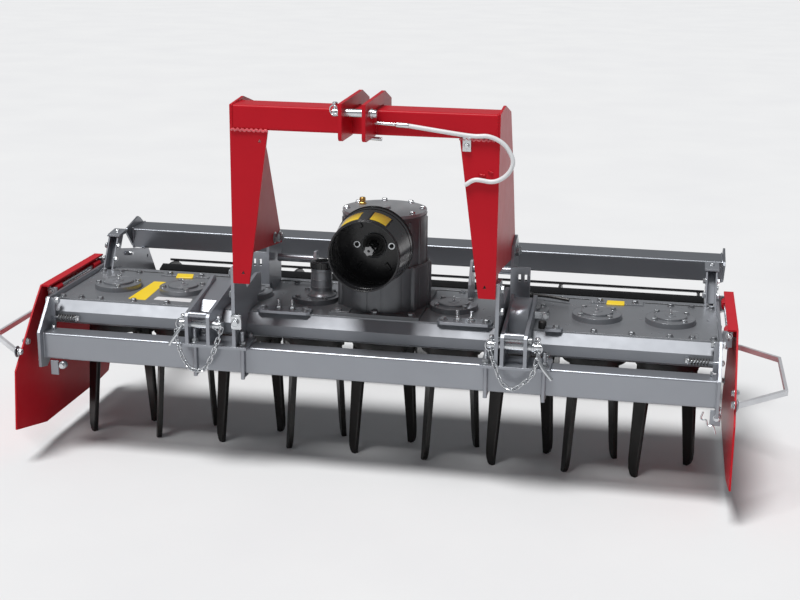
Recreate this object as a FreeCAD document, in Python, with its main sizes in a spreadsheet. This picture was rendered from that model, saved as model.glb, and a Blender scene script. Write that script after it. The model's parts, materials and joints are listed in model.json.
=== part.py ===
import FreeCAD, Part
import math
import os
import re
import Sketcher

# Power harrow, 9 rotors at 250 mm pitch, three-point linkage mounted, with a cage roller behind.
# +X is to the right seen from the tractor, +Y is rearwards, +Z is up.
# The machine is drawn with the rotor row at Y = 0 and the floor at Z = 0; every sub-part is then
# placed row_shift forwards, which puts the origin under the middle of the whole machine.

ROTORS = 9

# Driving sizes in millimetres and degrees. Names ending in _back, _front or _rear are distances
# from the rotor row along Y.
SIZES = {
    # rotors and tines
    "rotor_pitch": 250, "tine_circle": 119, "tine_lean": 27, "tine_top_width": 62,
    "tine_tip_width": 38, "tine_thick": 18, "tine_trim": 3, "tine_grip": 19.3, "tine_turn": 42,
    "tine_phase": 6, "lug_drop": 55, "lug_thick": 22, "lug_half": 37, "flange_radius": 112,
    "flange_thick": 26, "flange_gap": 9, "gear_radius": 122, "gear_thick": 45, "gear_lift": 14,
    "shaft_radius": 30, "shaft_gap": 0.05, "crown_radius": 95, "crown_lift": 140,
    "crown_thick": 40, "drive_length": 220,
    # gear trough
    "end_margin": 158, "trough_front": 220, "trough_rear": 262, "trough_chamfer": 34,
    "trough_fold": 12, "trough_floor": 457, "trough_deep": 88, "trough_wall": 8,
    "cover_thick": 6, "bearing_radius": 68, "bearing_drop": 22, "cap_radius": 85.5,
    "cap_thick": 18, "dome_radius": 55, "dome_rise": 7, "filler_offset": 22,
    "filler_radius": 37, "filler_rise": 120, "filler_lip": 3, "filler_cap": 22,
    # front bar and end plates
    "bar_gap": 18, "bar_depth": 76, "bar_tall": 94, "bar_drop": 7, "bar_wall": 8,
    "bar_corner": 8, "end_thick": 10, "end_rise": 17, "end_nose": 26, "end_hang": 24,
    "end_fold": 15, "end_fold_thick": 6,
    # gearbox and input
    "box_radius": 147, "box_lift": 335, "box_step": 166, "box_skirt": 157, "box_wall": 12,
    "box_lid": 12, "foot_gap": 6.5, "foot_half": 185, "foot_thick": 12, "input_lift": 255,
    "boss_radius": 78, "boss_front": 168, "input_radius": 17.45, "input_length": 89,
    "journal_radius": 24, "journal_nose": 5, "journal_back": 70, "pinion_radius": 42,
    "pinion_gap": 27, "shield_radius": 134, "shield_nose": 119, "shield_wall": 4,
    "shield_front": 345, "shield_eye": 45,
    # headstock
    "mast_half": 440, "mast_plate": 8, "mast_nose": 11, "mast_lift": 144, "mast_tall": 596,
    "mast_rear": 205, "mast_flange_top": 119, "mast_flange_low": 48, "cross_high": 80,
    "cross_deep": 120, "cross_wall": 8, "clevis_half": 31.5, "clevis_thick": 12,
    "clevis_reach": 152, "clevis_tail": 115, "clevis_drop": 81, "clevis_rise": 44,
    "clevis_gap": 0.2, "top_pin_reach": 105, "top_pin_lift": 3, "top_pin_radius": 12.5,
    "support_thick": 10, "support_front": 60, "support_rear": 215, "gusset_x": 285,
    "gusset_front": 98, "tube_radius": 14, "pad_inner": 222, "pad_outer": 410,
    "pad_thick": 10,
    # lower hitch brackets
    "hitch_out_left": 136, "hitch_out_right": 63, "hitch_half": 32, "hitch_plate": 12,
    "hitch_nose": 38, "hitch_rise": 21, "hitch_tail": 310, "hitch_pin_lift": 74,
    "hitch_pin_back": 8, "hitch_pin_radius": 14, "pin_gap": 0.3, "base_thick": 10,
    "ubolt_radius": 7, "ubolt_gap": 0.5, "saddle_thick": 6,
    # roller frame and roller
    "tower_wide": 40, "tower_deep": 50, "tower_wall": 6, "tower_rise": 115, "tower_lean": 72,
    "tower_back": 228, "side_gap": 5.5, "arm_thick": 13, "pivot_radius": 20,
    "pivot_back": 73, "pivot_lift": 43, "arm_reach": 515, "beam_reach": 277,
    "beam_deep": 140, "beam_lift": 74, "beam_high": 80, "beam_wall": 6, "beam_margin": 29,
    "roller_radius": 217, "roller_inset": 40, "roller_bar_wide": 46, "roller_bar_thick": 9,
    "bar_overhang": 16, "roller_tube": 50, "stub_radius": 20, "disc_thick": 10,
    # side plates and guards
    "side_out": 54, "side_thick": 6, "side_rise": 43, "side_fold": 28, "side_front": 448,
    "side_rear": 375, "side_bottom": 77, "hinge_out": 32, "hinge_lift": 15,
    "hinge_radius": 8, "knuckle_wall": 7, "knuckle_long": 60,
    "guard_reach": 174, "guard_drop": 143, "guard_high": 18, "guard_thick": 10,
    # drive shaft hook
    "hook_radius": 7,
    # placing of the whole machine
    "row_shift": -280,
}

# Sizes that follow from the driving ones.
DERIVED = {
    "trough_half": f"{ROTORS // 2} * rotor_pitch + end_margin",
    "trough_top": "trough_floor + trough_deep",
    "flange_top": "trough_floor - bearing_drop - flange_gap",
    "tine_root": "flange_top - flange_thick - 1",
    "bar_front": "trough_front + bar_gap + bar_depth",
    "bar_back": "trough_front + bar_gap",
    "bar_high": "trough_floor - bar_drop",
    "bar_low": "bar_high - bar_tall",
    "end_top": "trough_top + end_rise",
    "foot_x": "rotor_pitch - cap_radius - foot_gap",
    "over_cap": "trough_top + cap_thick + dome_rise + 4",
    "hitch_left": "mast_half + hitch_out_left",
    "hitch_right": "mast_half + hitch_out_right",
    "box_top": "trough_top + box_lift",
    "input_z": "trough_top + input_lift",
    "pinion_back": "box_radius - box_wall - pinion_gap",
    "hitch_front": "bar_front + hitch_nose",
    "hitch_top": "trough_top + hitch_rise",
    "hitch_pin_y": "bar_front + hitch_pin_back",
    "hitch_pin_z": "bar_high + hitch_pin_lift",
    "mast_front": "hitch_front + mast_nose",
    "mast_low": "trough_top + mast_lift",
    "mast_top": "mast_low + mast_tall",
    "top_pin_y": "mast_front + top_pin_reach",
    "top_pin_z": "mast_top + top_pin_lift",
    "arm_x": "trough_half - side_gap - arm_thick / 2",
    "ear_x": "trough_half - 2 * side_gap - arm_thick",
    "pivot_y": "trough_rear + pivot_back",
    "pivot_z": "trough_floor + pivot_lift",
    "beam_front": "pivot_y + beam_reach",
    "beam_back": "beam_front + beam_deep",
    "beam_top": "trough_top + beam_lift",
    "beam_low": "beam_top - beam_high",
    "beam_half": "trough_half + beam_margin",
    "roller_y": "pivot_y + arm_reach",
    "roller_z": "roller_radius * cos(18) + roller_bar_wide / 2 * sin(18)",
    "roller_half": "trough_half - roller_inset",
    "side_x": "trough_half + side_out",
    "side_top": "trough_top + side_rise",
    "hinge_x": "trough_half + hinge_out",
    "hinge_z": "trough_top + hinge_lift",
    "guard_x": "side_x + guard_reach",
    "guard_z": "trough_top - guard_drop",
}

doc = FreeCAD.newDocument("power_harrow")
sheet = doc.addObject("Spreadsheet::Sheet", "Sizes")
for line, (alias, value) in enumerate(SIZES.items(), start=1):
    sheet.set(f"A{line}", alias)
    sheet.set(f"B{line}", str(value))
    sheet.setAlias(f"B{line}", alias)
doc.recompute()


def words(names):
    return re.compile(r"\b(" + "|".join(sorted(names, key=len, reverse=True)) + r")\b")


ALIAS = words(SIZES)
FOLLOWING = words(DERIVED)
PLANES = {"X": "YZ_Plane", "Y": "XZ_Plane", "Z": "XY_Plane"}
TURN = {
    "X": FreeCAD.Rotation(FreeCAD.Vector(0, 1, 0), 90),
    "Y": FreeCAD.Rotation(FreeCAD.Vector(1, 0, 0), -90),
    "Z": FreeCAD.Rotation(),
}
NODES = []


def expression(value):
    """A size as the sheet's own expression, with every following size written out."""
    text = str(value)
    while FOLLOWING.search(text):
        text = FOLLOWING.sub(lambda found: f"({DERIVED[found.group()]})", text)
    return ALIAS.sub(r"Sizes.\1", text)


def evaluate(value):
    return float(sheet.evalExpression(expression(value)))


def place(item, at):
    for letter, value in zip("xyz", at):
        item.setExpression(f"Placement.Base.{letter}", expression(value))


def finish(item, label, at=(0, "row_shift", 0)):
    item.Label = label
    place(item, at)
    NODES.append(item)


def box(at, size):
    item = doc.addObject("Part::Box", "Block")
    for name, value in zip(("Length", "Width", "Height"), size):
        item.setExpression(name, expression(value))
    place(item, at)
    return item


def rod(axis, at, radius, length):
    item = doc.addObject("Part::Cylinder", "Rod")
    item.setExpression("Radius", expression(radius))
    item.setExpression("Height", expression(length))
    item.Placement = FreeCAD.Placement(FreeCAD.Vector(), TURN[axis])
    place(item, at)
    return item


def cone(axis, at, radii, length):
    item = doc.addObject("Part::Cone", "Cone")
    for name, value in zip(("Radius1", "Radius2", "Height"), (*radii, length)):
        item.setExpression(name, expression(value))
    item.Placement = FreeCAD.Placement(FreeCAD.Vector(), TURN[axis])
    place(item, at)
    return item


def fuse(parts):
    item = doc.addObject("Part::MultiFuse", "Joined")
    item.Shapes = parts
    item.Refine = True
    return item


def cut(base, tools):
    item = doc.addObject("Part::Cut", "Trimmed")
    item.Base = base
    item.Tool = tools[0] if len(tools) == 1 else fuse(tools)
    return item


def group(parts):
    item = doc.addObject("Part::Compound", "Group")
    item.Links = parts
    return item


def new_body(name="Body"):
    return doc.addObject("PartDesign::Body", name)


def origin_feature(body, role):
    return [item for item in body.Origin.OriginFeatures if item.Role == role][0]


def sketch_on(body, axis, start):
    sketch = body.newObject("Sketcher::SketchObject", "Profile")
    sketch.AttachmentSupport = [(origin_feature(body, PLANES[axis]), "")]
    sketch.MapMode = "FlatFace"
    sign = "-" if axis == "Y" else ""
    sketch.setExpression("AttachmentOffset.Base.z", expression(f"{sign}({start})"))
    return sketch


def fix_point(sketch, index, end, point):
    for kind, value in zip(("DistanceX", "DistanceY"), point):
        constraint = Sketcher.Constraint(kind, -1, 1, index, end, evaluate(value))
        row = sketch.addConstraint(constraint)
        sketch.setExpression(f"Constraints[{row}]", expression(value))


def polygon(sketch, points):
    spots = [FreeCAD.Vector(evaluate(a), evaluate(b), 0) for a, b in points]
    first = sketch.GeometryCount
    for here, there in zip(spots, spots[1:] + spots[:1]):
        sketch.addGeometry(Part.LineSegment(here, there), False)
    count = len(points)
    for step in range(count):
        sketch.addConstraint(Sketcher.Constraint(
            "Coincident", first + step, 2, first + (step + 1) % count, 1))
    for step, point in enumerate(points):
        fix_point(sketch, first + step, 1, point)


def circle(sketch, point, radius):
    centre = FreeCAD.Vector(evaluate(point[0]), evaluate(point[1]), 0)
    round_edge = Part.Circle(centre, FreeCAD.Vector(0, 0, 1), evaluate(radius))
    index = sketch.addGeometry(round_edge, False)
    fix_point(sketch, index, 3, point)
    row = sketch.addConstraint(Sketcher.Constraint("Radius", index, evaluate(radius)))
    sketch.setExpression(f"Constraints[{row}]", expression(radius))


def profile(body, axis, start, outlines, holes):
    sketch = sketch_on(body, axis, start)
    for outline in outlines:
        polygon(sketch, outline)
    for point, radius in holes:
        circle(sketch, point, radius)
    return sketch


def pad(body, axis, start, length, outlines, holes=()):
    """Extrude closed outlines along +axis from start; holes are (point, radius)."""
    sketch = profile(body, axis, start, outlines, holes)
    feature = body.newObject("PartDesign::Pad", "Pad")
    feature.Profile = sketch
    feature.setExpression("Length", expression(length))
    feature.Reversed = axis == "Y"
    doc.recompute()
    return feature


def pocket(body, axis, start, length, outlines, holes=()):
    """Cut closed outlines along +axis from start."""
    sketch = profile(body, axis, start, outlines, holes)
    before = body.Shape.Volume
    feature = body.newObject("PartDesign::Pocket", "Pocket")
    feature.Profile = sketch
    feature.setExpression("Length", expression(length))
    feature.Reversed = axis != "Y"
    doc.recompute()
    if body.Shape.Volume >= before:
        raise ValueError(f"pocket in {body.Name} cuts nothing")
    return feature


def soften(body, feature, axis, radius):
    """Round the corners of an extrusion: its straight edges that run along axis."""
    way = FreeCAD.Vector(*[1.0 if letter == axis else 0.0 for letter in "XYZ"])
    names = []
    for number, edge in enumerate(feature.Shape.Edges, start=1):
        if len(edge.Vertexes) == 2 and edge.Curve.TypeId == "Part::GeomLine":
            run = edge.Vertexes[1].Point - edge.Vertexes[0].Point
            if abs(run.normalize() * way) > 0.999:
                names.append(f"Edge{number}")
    item = body.newObject("PartDesign::Fillet", "Corners")
    item.Base = (feature, names)
    item.setExpression("Radius", expression(radius))
    doc.recompute()


def plate(axis, start, thick, outline, holes=(), corner=None):
    body = new_body("Plate")
    feature = pad(body, axis, start, thick, [outline], holes)
    if corner is not None:
        soften(body, feature, axis, corner)
    return body


def rect(low_a, high_a, low_b, high_b):
    return [(low_a, low_b), (high_a, low_b), (high_a, high_b), (low_a, high_b)]


def tube_section(axis, start, length, low_a, high_a, low_b, high_b, wall, corner=None):
    """Rectangular hollow section along an axis."""
    body = new_body("Section")
    outer = rect(low_a, high_a, low_b, high_b)
    inner = rect(f"{low_a} + {wall}", f"{high_a} - {wall}", f"{low_b} + {wall}",
                 f"{high_b} - {wall}")
    feature = pad(body, axis, start, length, [outer, inner])
    if corner is not None:
        soften(body, feature, axis, corner)
    return body


def pair_pattern(body, feature):
    """Repeat a feature on the other side of the body's Z axis."""
    pattern = body.newObject("PartDesign::PolarPattern", "Pair")
    pattern.Originals = [feature]
    pattern.Axis = (origin_feature(body, "Z_Axis"), [""])
    pattern.Angle = 360
    pattern.Occurrences = 2
    body.Tip = pattern
    doc.recompute()


def across(side, near, thick):
    """Start of a piece of this thickness whose inner face is at near, on the left or right."""
    return f"-({near}) - ({thick})" if side < 0 else near


SIDES = ((-1, "left"), (1, "right"))
ROTOR_X = [f"({number - ROTORS // 2}) * rotor_pitch" for number in range(ROTORS)]

# ---------------------------------------------------------------- gear trough
# A folded trough with chamfered shoulders, open on top, with a bearing sleeve under each rotor.
trough = new_body("Trough")
pad(trough, "X", "-trough_half", "2 * trough_half", [[
    ("-trough_front", "trough_floor + trough_fold"),
    ("-trough_front + 20", "trough_floor"), ("trough_rear - 20", "trough_floor"),
    ("trough_rear", "trough_floor + trough_fold"),
    ("trough_rear", "trough_top - cover_thick - trough_chamfer"),
    ("trough_rear - trough_chamfer", "trough_top - cover_thick"),
    ("-trough_front + trough_chamfer", "trough_top - cover_thick"),
    ("-trough_front", "trough_top - cover_thick - trough_chamfer")]])
pocket(trough, "X", "-trough_half + trough_wall", "2 * (trough_half - trough_wall)", [rect(
    "-trough_front + trough_wall + trough_chamfer", "trough_rear - trough_wall - trough_chamfer",
    "trough_floor + trough_wall", "trough_top")])
sleeves = [rod("Z", (x, 0, "trough_floor - bearing_drop"), "bearing_radius", "bearing_drop + 2")
           for x in ROTOR_X]
bores = [rod("Z", (x, 0, "trough_floor - bearing_drop - 5"), "shaft_radius + shaft_gap",
             "bearing_drop + trough_wall + 20") for x in ROTOR_X]
finish(cut(fuse([trough] + sleeves), bores), "gear_trough")

cover = plate("Z", "trough_top - cover_thick", "cover_thick", rect(
    "-trough_half", "trough_half", "-trough_front + trough_chamfer",
    "trough_rear - trough_chamfer"), holes=[((0, 0), "shaft_radius + 10")])
finish(cover, "trough_cover")

# Every rotor has a bearing cap on top, apart from the middle one, which is under the gearbox,
# and the one left of it, which carries the oil filler.
MIDDLE = ROTORS // 2
caps = []
for number in range(ROTORS):
    if number in (MIDDLE - 1, MIDDLE):
        continue
    ring = rod("Z", (ROTOR_X[number], 0, "trough_top"), "cap_radius", "cap_thick")
    dome = rod("Z", (ROTOR_X[number], 0, "trough_top"), "dome_radius", "cap_thick + dome_rise")
    caps.append(fuse([ring, dome]))
finish(group(caps), "bearing_caps")

FILLER_X = "-rotor_pitch + filler_offset"
finish(fuse([
    rod("Z", ("-rotor_pitch", 0, "trough_top"), "cap_radius", "cap_thick"),
    rod("Z", (FILLER_X, 0, "trough_top + 2"), "filler_radius", "filler_rise - 2")]),
    "trough_filler")
finish(group([rod("Z", (FILLER_X, 0, "trough_top + filler_rise"),
                  "filler_radius + filler_lip", "filler_cap")]), "filler_cap")

# ---------------------------------------------------------------- front bar and end plates
finish(tube_section("X", "-trough_half", "2 * trough_half", "-bar_front", "-bar_back",
                    "bar_low", "bar_high", "bar_wall", "bar_corner"), "front_bar")

# Each end plate closes the trough and the bar, and carries the outer end of the roller pivot.
for side, name in SIDES:
    web = plate("X", across(side, "trough_half", "end_thick"), "end_thick", [
        ("-bar_front - end_nose", "bar_low - end_hang"),
        ("-bar_front + 20", "bar_low - end_hang - 10"), ("-bar_back", "bar_low + 6"),
        ("-trough_front + 20", "trough_floor"), ("trough_rear + 5", "trough_floor"),
        ("pivot_y", "pivot_z - 42"), ("pivot_y + 38", "pivot_z - 18"),
        ("pivot_y + 38", "pivot_z + 18"), ("trough_rear + 38", "end_top"),
        ("-trough_front - 23", "end_top"), ("-bar_front - end_nose", "bar_high + 7")],
        holes=[(("pivot_y", "pivot_z"), "pivot_radius")])
    fold_start = across(side, "trough_half - end_fold", "end_fold")
    fold = box((fold_start, "-trough_front - 20", "bar_high + 3"),
               ("end_fold", "end_fold_thick", "end_top - bar_high - 7"))
    finish(fuse([web, fold]), f"end_plate_{name}")

# ---------------------------------------------------------------- gearbox and power input
lower = fuse([
    box(("-foot_x", "-foot_half", "trough_top"), ("2 * foot_x", "2 * foot_half", "foot_thick")),
    rod("Z", (0, 0, "trough_top"), "box_skirt", "box_step"),
    rod("Z", (0, 0, "trough_top"), "box_radius", "box_lift"),
    rod("Y", (0, "-boss_front", "input_z"), "boss_radius", "2 * boss_front")])
hollow = [
    rod("Z", (0, 0, "trough_top - 5"), "box_radius - box_wall", "box_lift + 10"),
    rod("Y", (0, "-boss_front - 5", "input_z"), "journal_radius + shaft_gap", "boss_front + 5")]
finish(cut(lower, hollow), "gearbox_housing")
finish(fuse([rod("Z", (0, 0, "box_top"), "box_radius", "box_lid"),
             rod("Z", (0, 0, "box_top + box_lid - 1"), 20, 9)]), "gearbox_lid")

shield_mouth = (0, "-shield_front", "input_z")
finish(cut(cone("Y", shield_mouth, ("shield_nose", "shield_radius"),
                "shield_front - boss_front"), [
    cone("Y", shield_mouth, ("shield_nose - shield_wall", "shield_radius - shield_wall"),
         "shield_front - boss_front - shield_wall"),
    rod("Y", shield_mouth, "shield_eye", "shield_front")]), "pto_shield")

finish(fuse([
    rod("Y", (0, "-boss_front - journal_nose - input_length", "input_z"), "input_radius",
        "input_length + 10"),
    rod("Y", (0, "-boss_front - journal_nose", "input_z"), "journal_radius",
        "boss_front + journal_nose - journal_back"),
    rod("Y", (0, "-pinion_back", "input_z"), "pinion_radius", "pinion_back - journal_back")]),
    "pto_shaft")

# ---------------------------------------------------------------- headstock
# Each mast is a bent plate: a wide side web and a tapered front flange.
supports = []
for side, name in SIDES:
    start = "-mast_half" if side < 0 else "mast_half - mast_plate"
    web = plate("X", start, "mast_plate", [
        ("-mast_front", "mast_low"), ("-mast_front + 52", "mast_low"),
        ("-mast_front + 62", "mast_low + 70"), ("-mast_front + 230", "mast_low + 54"),
        ("mast_rear", "mast_low + 10"), ("mast_rear - 164", "mast_top - 236"),
        ("mast_rear - 283", "mast_top - 29"), ("-mast_front + 132", "mast_top + 11"),
        ("-mast_front", "mast_top")],
        holes=[(("mast_rear - 35", "mast_low + 40"), 9)])
    edge = "-mast_half + mast_plate" if side < 0 else "mast_half - mast_plate"
    sign = "+" if side < 0 else "-"
    flange = new_body("Flange")
    marks = [[(f"{edge} {sign} {offset - 6}", z), (f"{edge} {sign} {offset + 6}", z),
              (f"{edge} {sign} {offset}", f"{z} + 12")]
             for offset, z in ((28, "mast_low + 33"), (92, "mast_top - cross_high - 40"))]
    pad(flange, "Y", "-mast_front", "mast_plate", [[
        (edge, "mast_low"), (f"{edge} {sign} mast_flange_low", "mast_low"),
        (f"{edge} {sign} mast_flange_top", "mast_top - cross_high - 2"),
        (edge, "mast_top - cross_high - 2")]] + marks)
    finish(fuse([web, flange]), f"mast_{name}")

    # The mast's rear foot: a web outside the mast with a front fold, a gusset with a cross tube
    # inside it, and a clamping pad on the trough's front edge.
    outer = plate("X", across(side, "mast_half", "support_thick"), "support_thick", [
        ("cap_radius + 8", "trough_top"), ("support_rear", "trough_top"),
        ("support_rear + 10", "mast_low + 40"), ("support_rear - 45", "mast_low + 95"),
        ("support_front + 15", "mast_low + 75"), ("support_front", "mast_low"),
        ("support_front", "over_cap"), ("cap_radius + 8", "over_cap")])
    fold = box((across(side, "mast_half + support_thick - 1", 61), "support_front", "over_cap"),
               (61, 8, "mast_low + 4 - over_cap"))
    slots = [box((across(side, f"mast_half + support_thick + {offset}", 9), 55,
                  "mast_low - 48"), (9, 20, 26)) for offset in (18, 40)]
    supports.append(cut(fuse([outer, fold]), slots))
    gusset = plate("X", across(side, "gusset_x", "support_thick"), "support_thick", [
        ("gusset_front", "trough_top"), ("support_rear", "trough_top"),
        ("support_rear - 15", "trough_top + 55"), ("support_rear - 45", "mast_low - 5"),
        ("support_rear - 70", "mast_low - 5"), ("gusset_front + 2", "trough_top + 60")])
    tube = rod("X", (across(side, "gusset_x + 5", "mast_half - mast_plate - gusset_x - 5"),
                     "gusset_front + 55", "mast_low - 35"), "tube_radius",
               "mast_half - mast_plate - gusset_x - 5")
    supports.append(fuse([gusset, tube]))
    low, high = ("-pad_outer", "-pad_inner") if side < 0 else ("pad_inner", "pad_outer")
    supports.append(plate("Z", "trough_top", "pad_thick", [
        (low, -195), (f"{low} + 12", -206), (f"{high} - 12", -206), (high, -195),
        (high, -155), (f"{high} - 12", -144), (f"{low} + 12", -144), (low, -155)]))
finish(group(supports), "mast_supports")

finish(tube_section("X", "-mast_half + mast_plate", "2 * (mast_half - mast_plate)",
                    "-mast_front", "-mast_front + cross_deep", "mast_top - cross_high",
                    "mast_top", "cross_wall", "bar_corner"), "mast_crossbar")

cheeks = []
for start in ("-clevis_half - clevis_thick", "clevis_half"):
    nose, tail = "-mast_front - clevis_gap", "-mast_front + cross_deep + clevis_gap"
    low, high = "mast_top - clevis_drop", "mast_top + clevis_rise"
    cheeks.append(plate("X", start, "clevis_thick", [
        ("-mast_front - clevis_reach", f"{low} + 14"),
        ("-mast_front - clevis_reach + 5", f"{low} + 4"),
        ("-mast_front - clevis_reach + 16", low), (nose, low),
        (nose, "mast_top + clevis_gap"), (tail, "mast_top + clevis_gap"),
        (tail, "mast_top - cross_high"), ("-clevis_tail", "mast_top - cross_high"),
        ("-clevis_tail", f"{high} - 36"), ("-clevis_tail - 105", high),
        ("-mast_front - clevis_reach", f"{high} - 8")],
        holes=[(("-top_pin_y", "top_pin_z"), "top_pin_radius + pin_gap")]))
finish(group(cheeks), "top_link_plates")
finish(group([rod("X", ("-clevis_half - clevis_thick - 28", "-top_pin_y", "top_pin_z"),
                  "top_pin_radius", "2 * (clevis_half + clevis_thick) + 50")]), "top_link_pin")

# ---------------------------------------------------------------- lower hitch brackets
# Two plates hold the link pin on each side, a taller stay ties them to the mast, and a base
# plate clamps them to the bar with U-bolts. The left bracket stands further out.
BRACKETS = {
    "left": {"plates": ("-hitch_left - hitch_half - hitch_plate", "-hitch_left + hitch_half"),
             "between": "-hitch_left - hitch_half", "stay": "-mast_half - hitch_plate",
             "base": ("-hitch_left - hitch_half - 30", "-mast_half + 36"),
             "pin": ("-hitch_left - hitch_half - 36", 146),
             "bolts": ("-hitch_left - hitch_half + 12", "-mast_half + 14")},
    "right": {"plates": ("hitch_right - hitch_half - hitch_plate", "hitch_right + hitch_half"),
              "between": "hitch_right - hitch_half", "stay": "mast_half",
              "base": ("mast_half - 48", "hitch_right + hitch_half + hitch_plate + 76"),
              "pin": ("hitch_right - hitch_half - 54", 172),
              "bolts": ("mast_half - 30", "hitch_right + hitch_half + hitch_plate + 55")},
}
BRACKET_FOOT = [
    ("-hitch_front + hitch_tail", "over_cap"), ("-cap_radius - 8", "over_cap"),
    ("-cap_radius - 8", "trough_top"), ("-trough_front + 26", "trough_top"),
    ("-trough_front - 4", "trough_top - 32"), ("-trough_front - 4", "bar_high + base_thick")]
hitch_pairs, stays, feet, bolts, link_pins = [], [], [], [], []
front_row = "-bar_front - ubolt_radius - ubolt_gap"
back_row = "-bar_back + ubolt_radius + ubolt_gap"
for name, data in BRACKETS.items():
    hole = (("-hitch_pin_y", "hitch_pin_z"), "hitch_pin_radius + pin_gap")
    for start in data["plates"]:
        hitch_pairs.append(plate("X", start, "hitch_plate", [
            ("-hitch_front", "bar_high + base_thick"), ("-hitch_front", "hitch_top - 8"),
            ("-hitch_front + 8", "hitch_top + 2"), ("-hitch_front + 235", "hitch_top + 42"),
            ("-hitch_front + 285", "hitch_top + 62"),
            ("-hitch_front + hitch_tail", "hitch_top + 58")] + BRACKET_FOOT, holes=[hole]))
    stays.append(plate("X", data["stay"], "hitch_plate", [
        ("-hitch_front", "bar_high + base_thick"), ("-hitch_front", "mast_low + 50"),
        ("-hitch_front + 60", "mast_low + 50"), ("-hitch_front + 140", "hitch_top + 68"),
        ("-hitch_front + 265", "hitch_top + 88"),
        ("-hitch_front + hitch_tail", "hitch_top + 80")] + BRACKET_FOOT,
        holes=[hole] if name == "right" else []))
    saddle = plate("X", data["between"], "2 * hitch_half", [
        ("-trough_front - 12", "bar_high + base_thick + 12"),
        ("-trough_front - 12", "trough_top - 2"), ("-trough_front + 18", "trough_top + 32"),
        ("-trough_front + 170", "trough_top + 66"), ("-trough_front + 170", "trough_top + 60"),
        ("-trough_front + 20", "trough_top + 26"), ("-trough_front - 6", "trough_top - 5"),
        ("-trough_front - 6", "bar_high + base_thick + 12")])
    tie = rod("X", (data["between"], "-hitch_front + 14", "hitch_top - 4"), 10, "2 * hitch_half")
    hitch_pairs += [saddle, tie]

    low, high = data["base"]
    base = box((low, "-hitch_front", "bar_high"),
               (f"({high}) - ({low})", f"hitch_front + ({back_row})", "base_thick"))
    holes = [rod("Z", (x, y, "bar_high - 5"), "ubolt_radius + ubolt_gap", "base_thick + 10")
             for x in data["bolts"] for y in (front_row, back_row)]
    feet.append(cut(base, holes))
    start, length = data["pin"]
    link_pins.append(rod("X", (start, "-hitch_pin_y", "hitch_pin_z"), "hitch_pin_radius",
                         length))
    for x in data["bolts"]:
        front_leg = rod("Z", (x, front_row, "bar_low - 18"), "ubolt_radius",
                        "bar_tall + 18 + base_thick + 50")
        back_leg = rod("Z", (x, back_row, "bar_low - 18"), "ubolt_radius",
                       "bar_tall + 18 + base_thick + 6")
        under = rod("Y", (x, front_row, "bar_low - 18 + ubolt_radius"), "ubolt_radius",
                    "bar_depth + 2 * (ubolt_radius + ubolt_gap)")
        bolts.append(fuse([front_leg, back_leg, under]))
finish(group(hitch_pairs), "hitch_plates")
finish(group(stays), "hitch_stays")
finish(group(feet), "hitch_bases")
finish(group(bolts), "hitch_bolts")
finish(group(link_pins), "lower_link_pins")

# ---------------------------------------------------------------- rear towers and roller frame
towers, ears, pivots, bearings, beam_ends = [], [], [], [], []
TOWER_LEG = [
    ("tower_back", "trough_top"), ("tower_back + tower_deep", "trough_top"),
    ("tower_back + tower_deep + tower_lean", "trough_top + tower_rise"),
    ("tower_back + tower_lean", "trough_top + tower_rise")]
TOWER_WALL = [
    ("tower_back + tower_deep - tower_wall", "trough_top"),
    ("tower_back + tower_deep", "trough_top"),
    ("tower_back + tower_deep + tower_lean", "trough_top + tower_rise"),
    ("tower_back + tower_deep + tower_lean - tower_wall", "trough_top + tower_rise")]
TOWER_CAP = [
    ("tower_back + tower_lean - 5", "trough_top + tower_rise - 1"),
    ("tower_back + tower_lean + tower_deep + 14", "trough_top + tower_rise - 1"),
    ("tower_back + tower_lean + tower_deep + 30", "trough_top + tower_rise + 8"),
    ("tower_back + tower_lean + tower_deep + 24", "trough_top + tower_rise + 14"),
    ("tower_back + tower_lean - 2", "trough_top + tower_rise + 6")]
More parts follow.
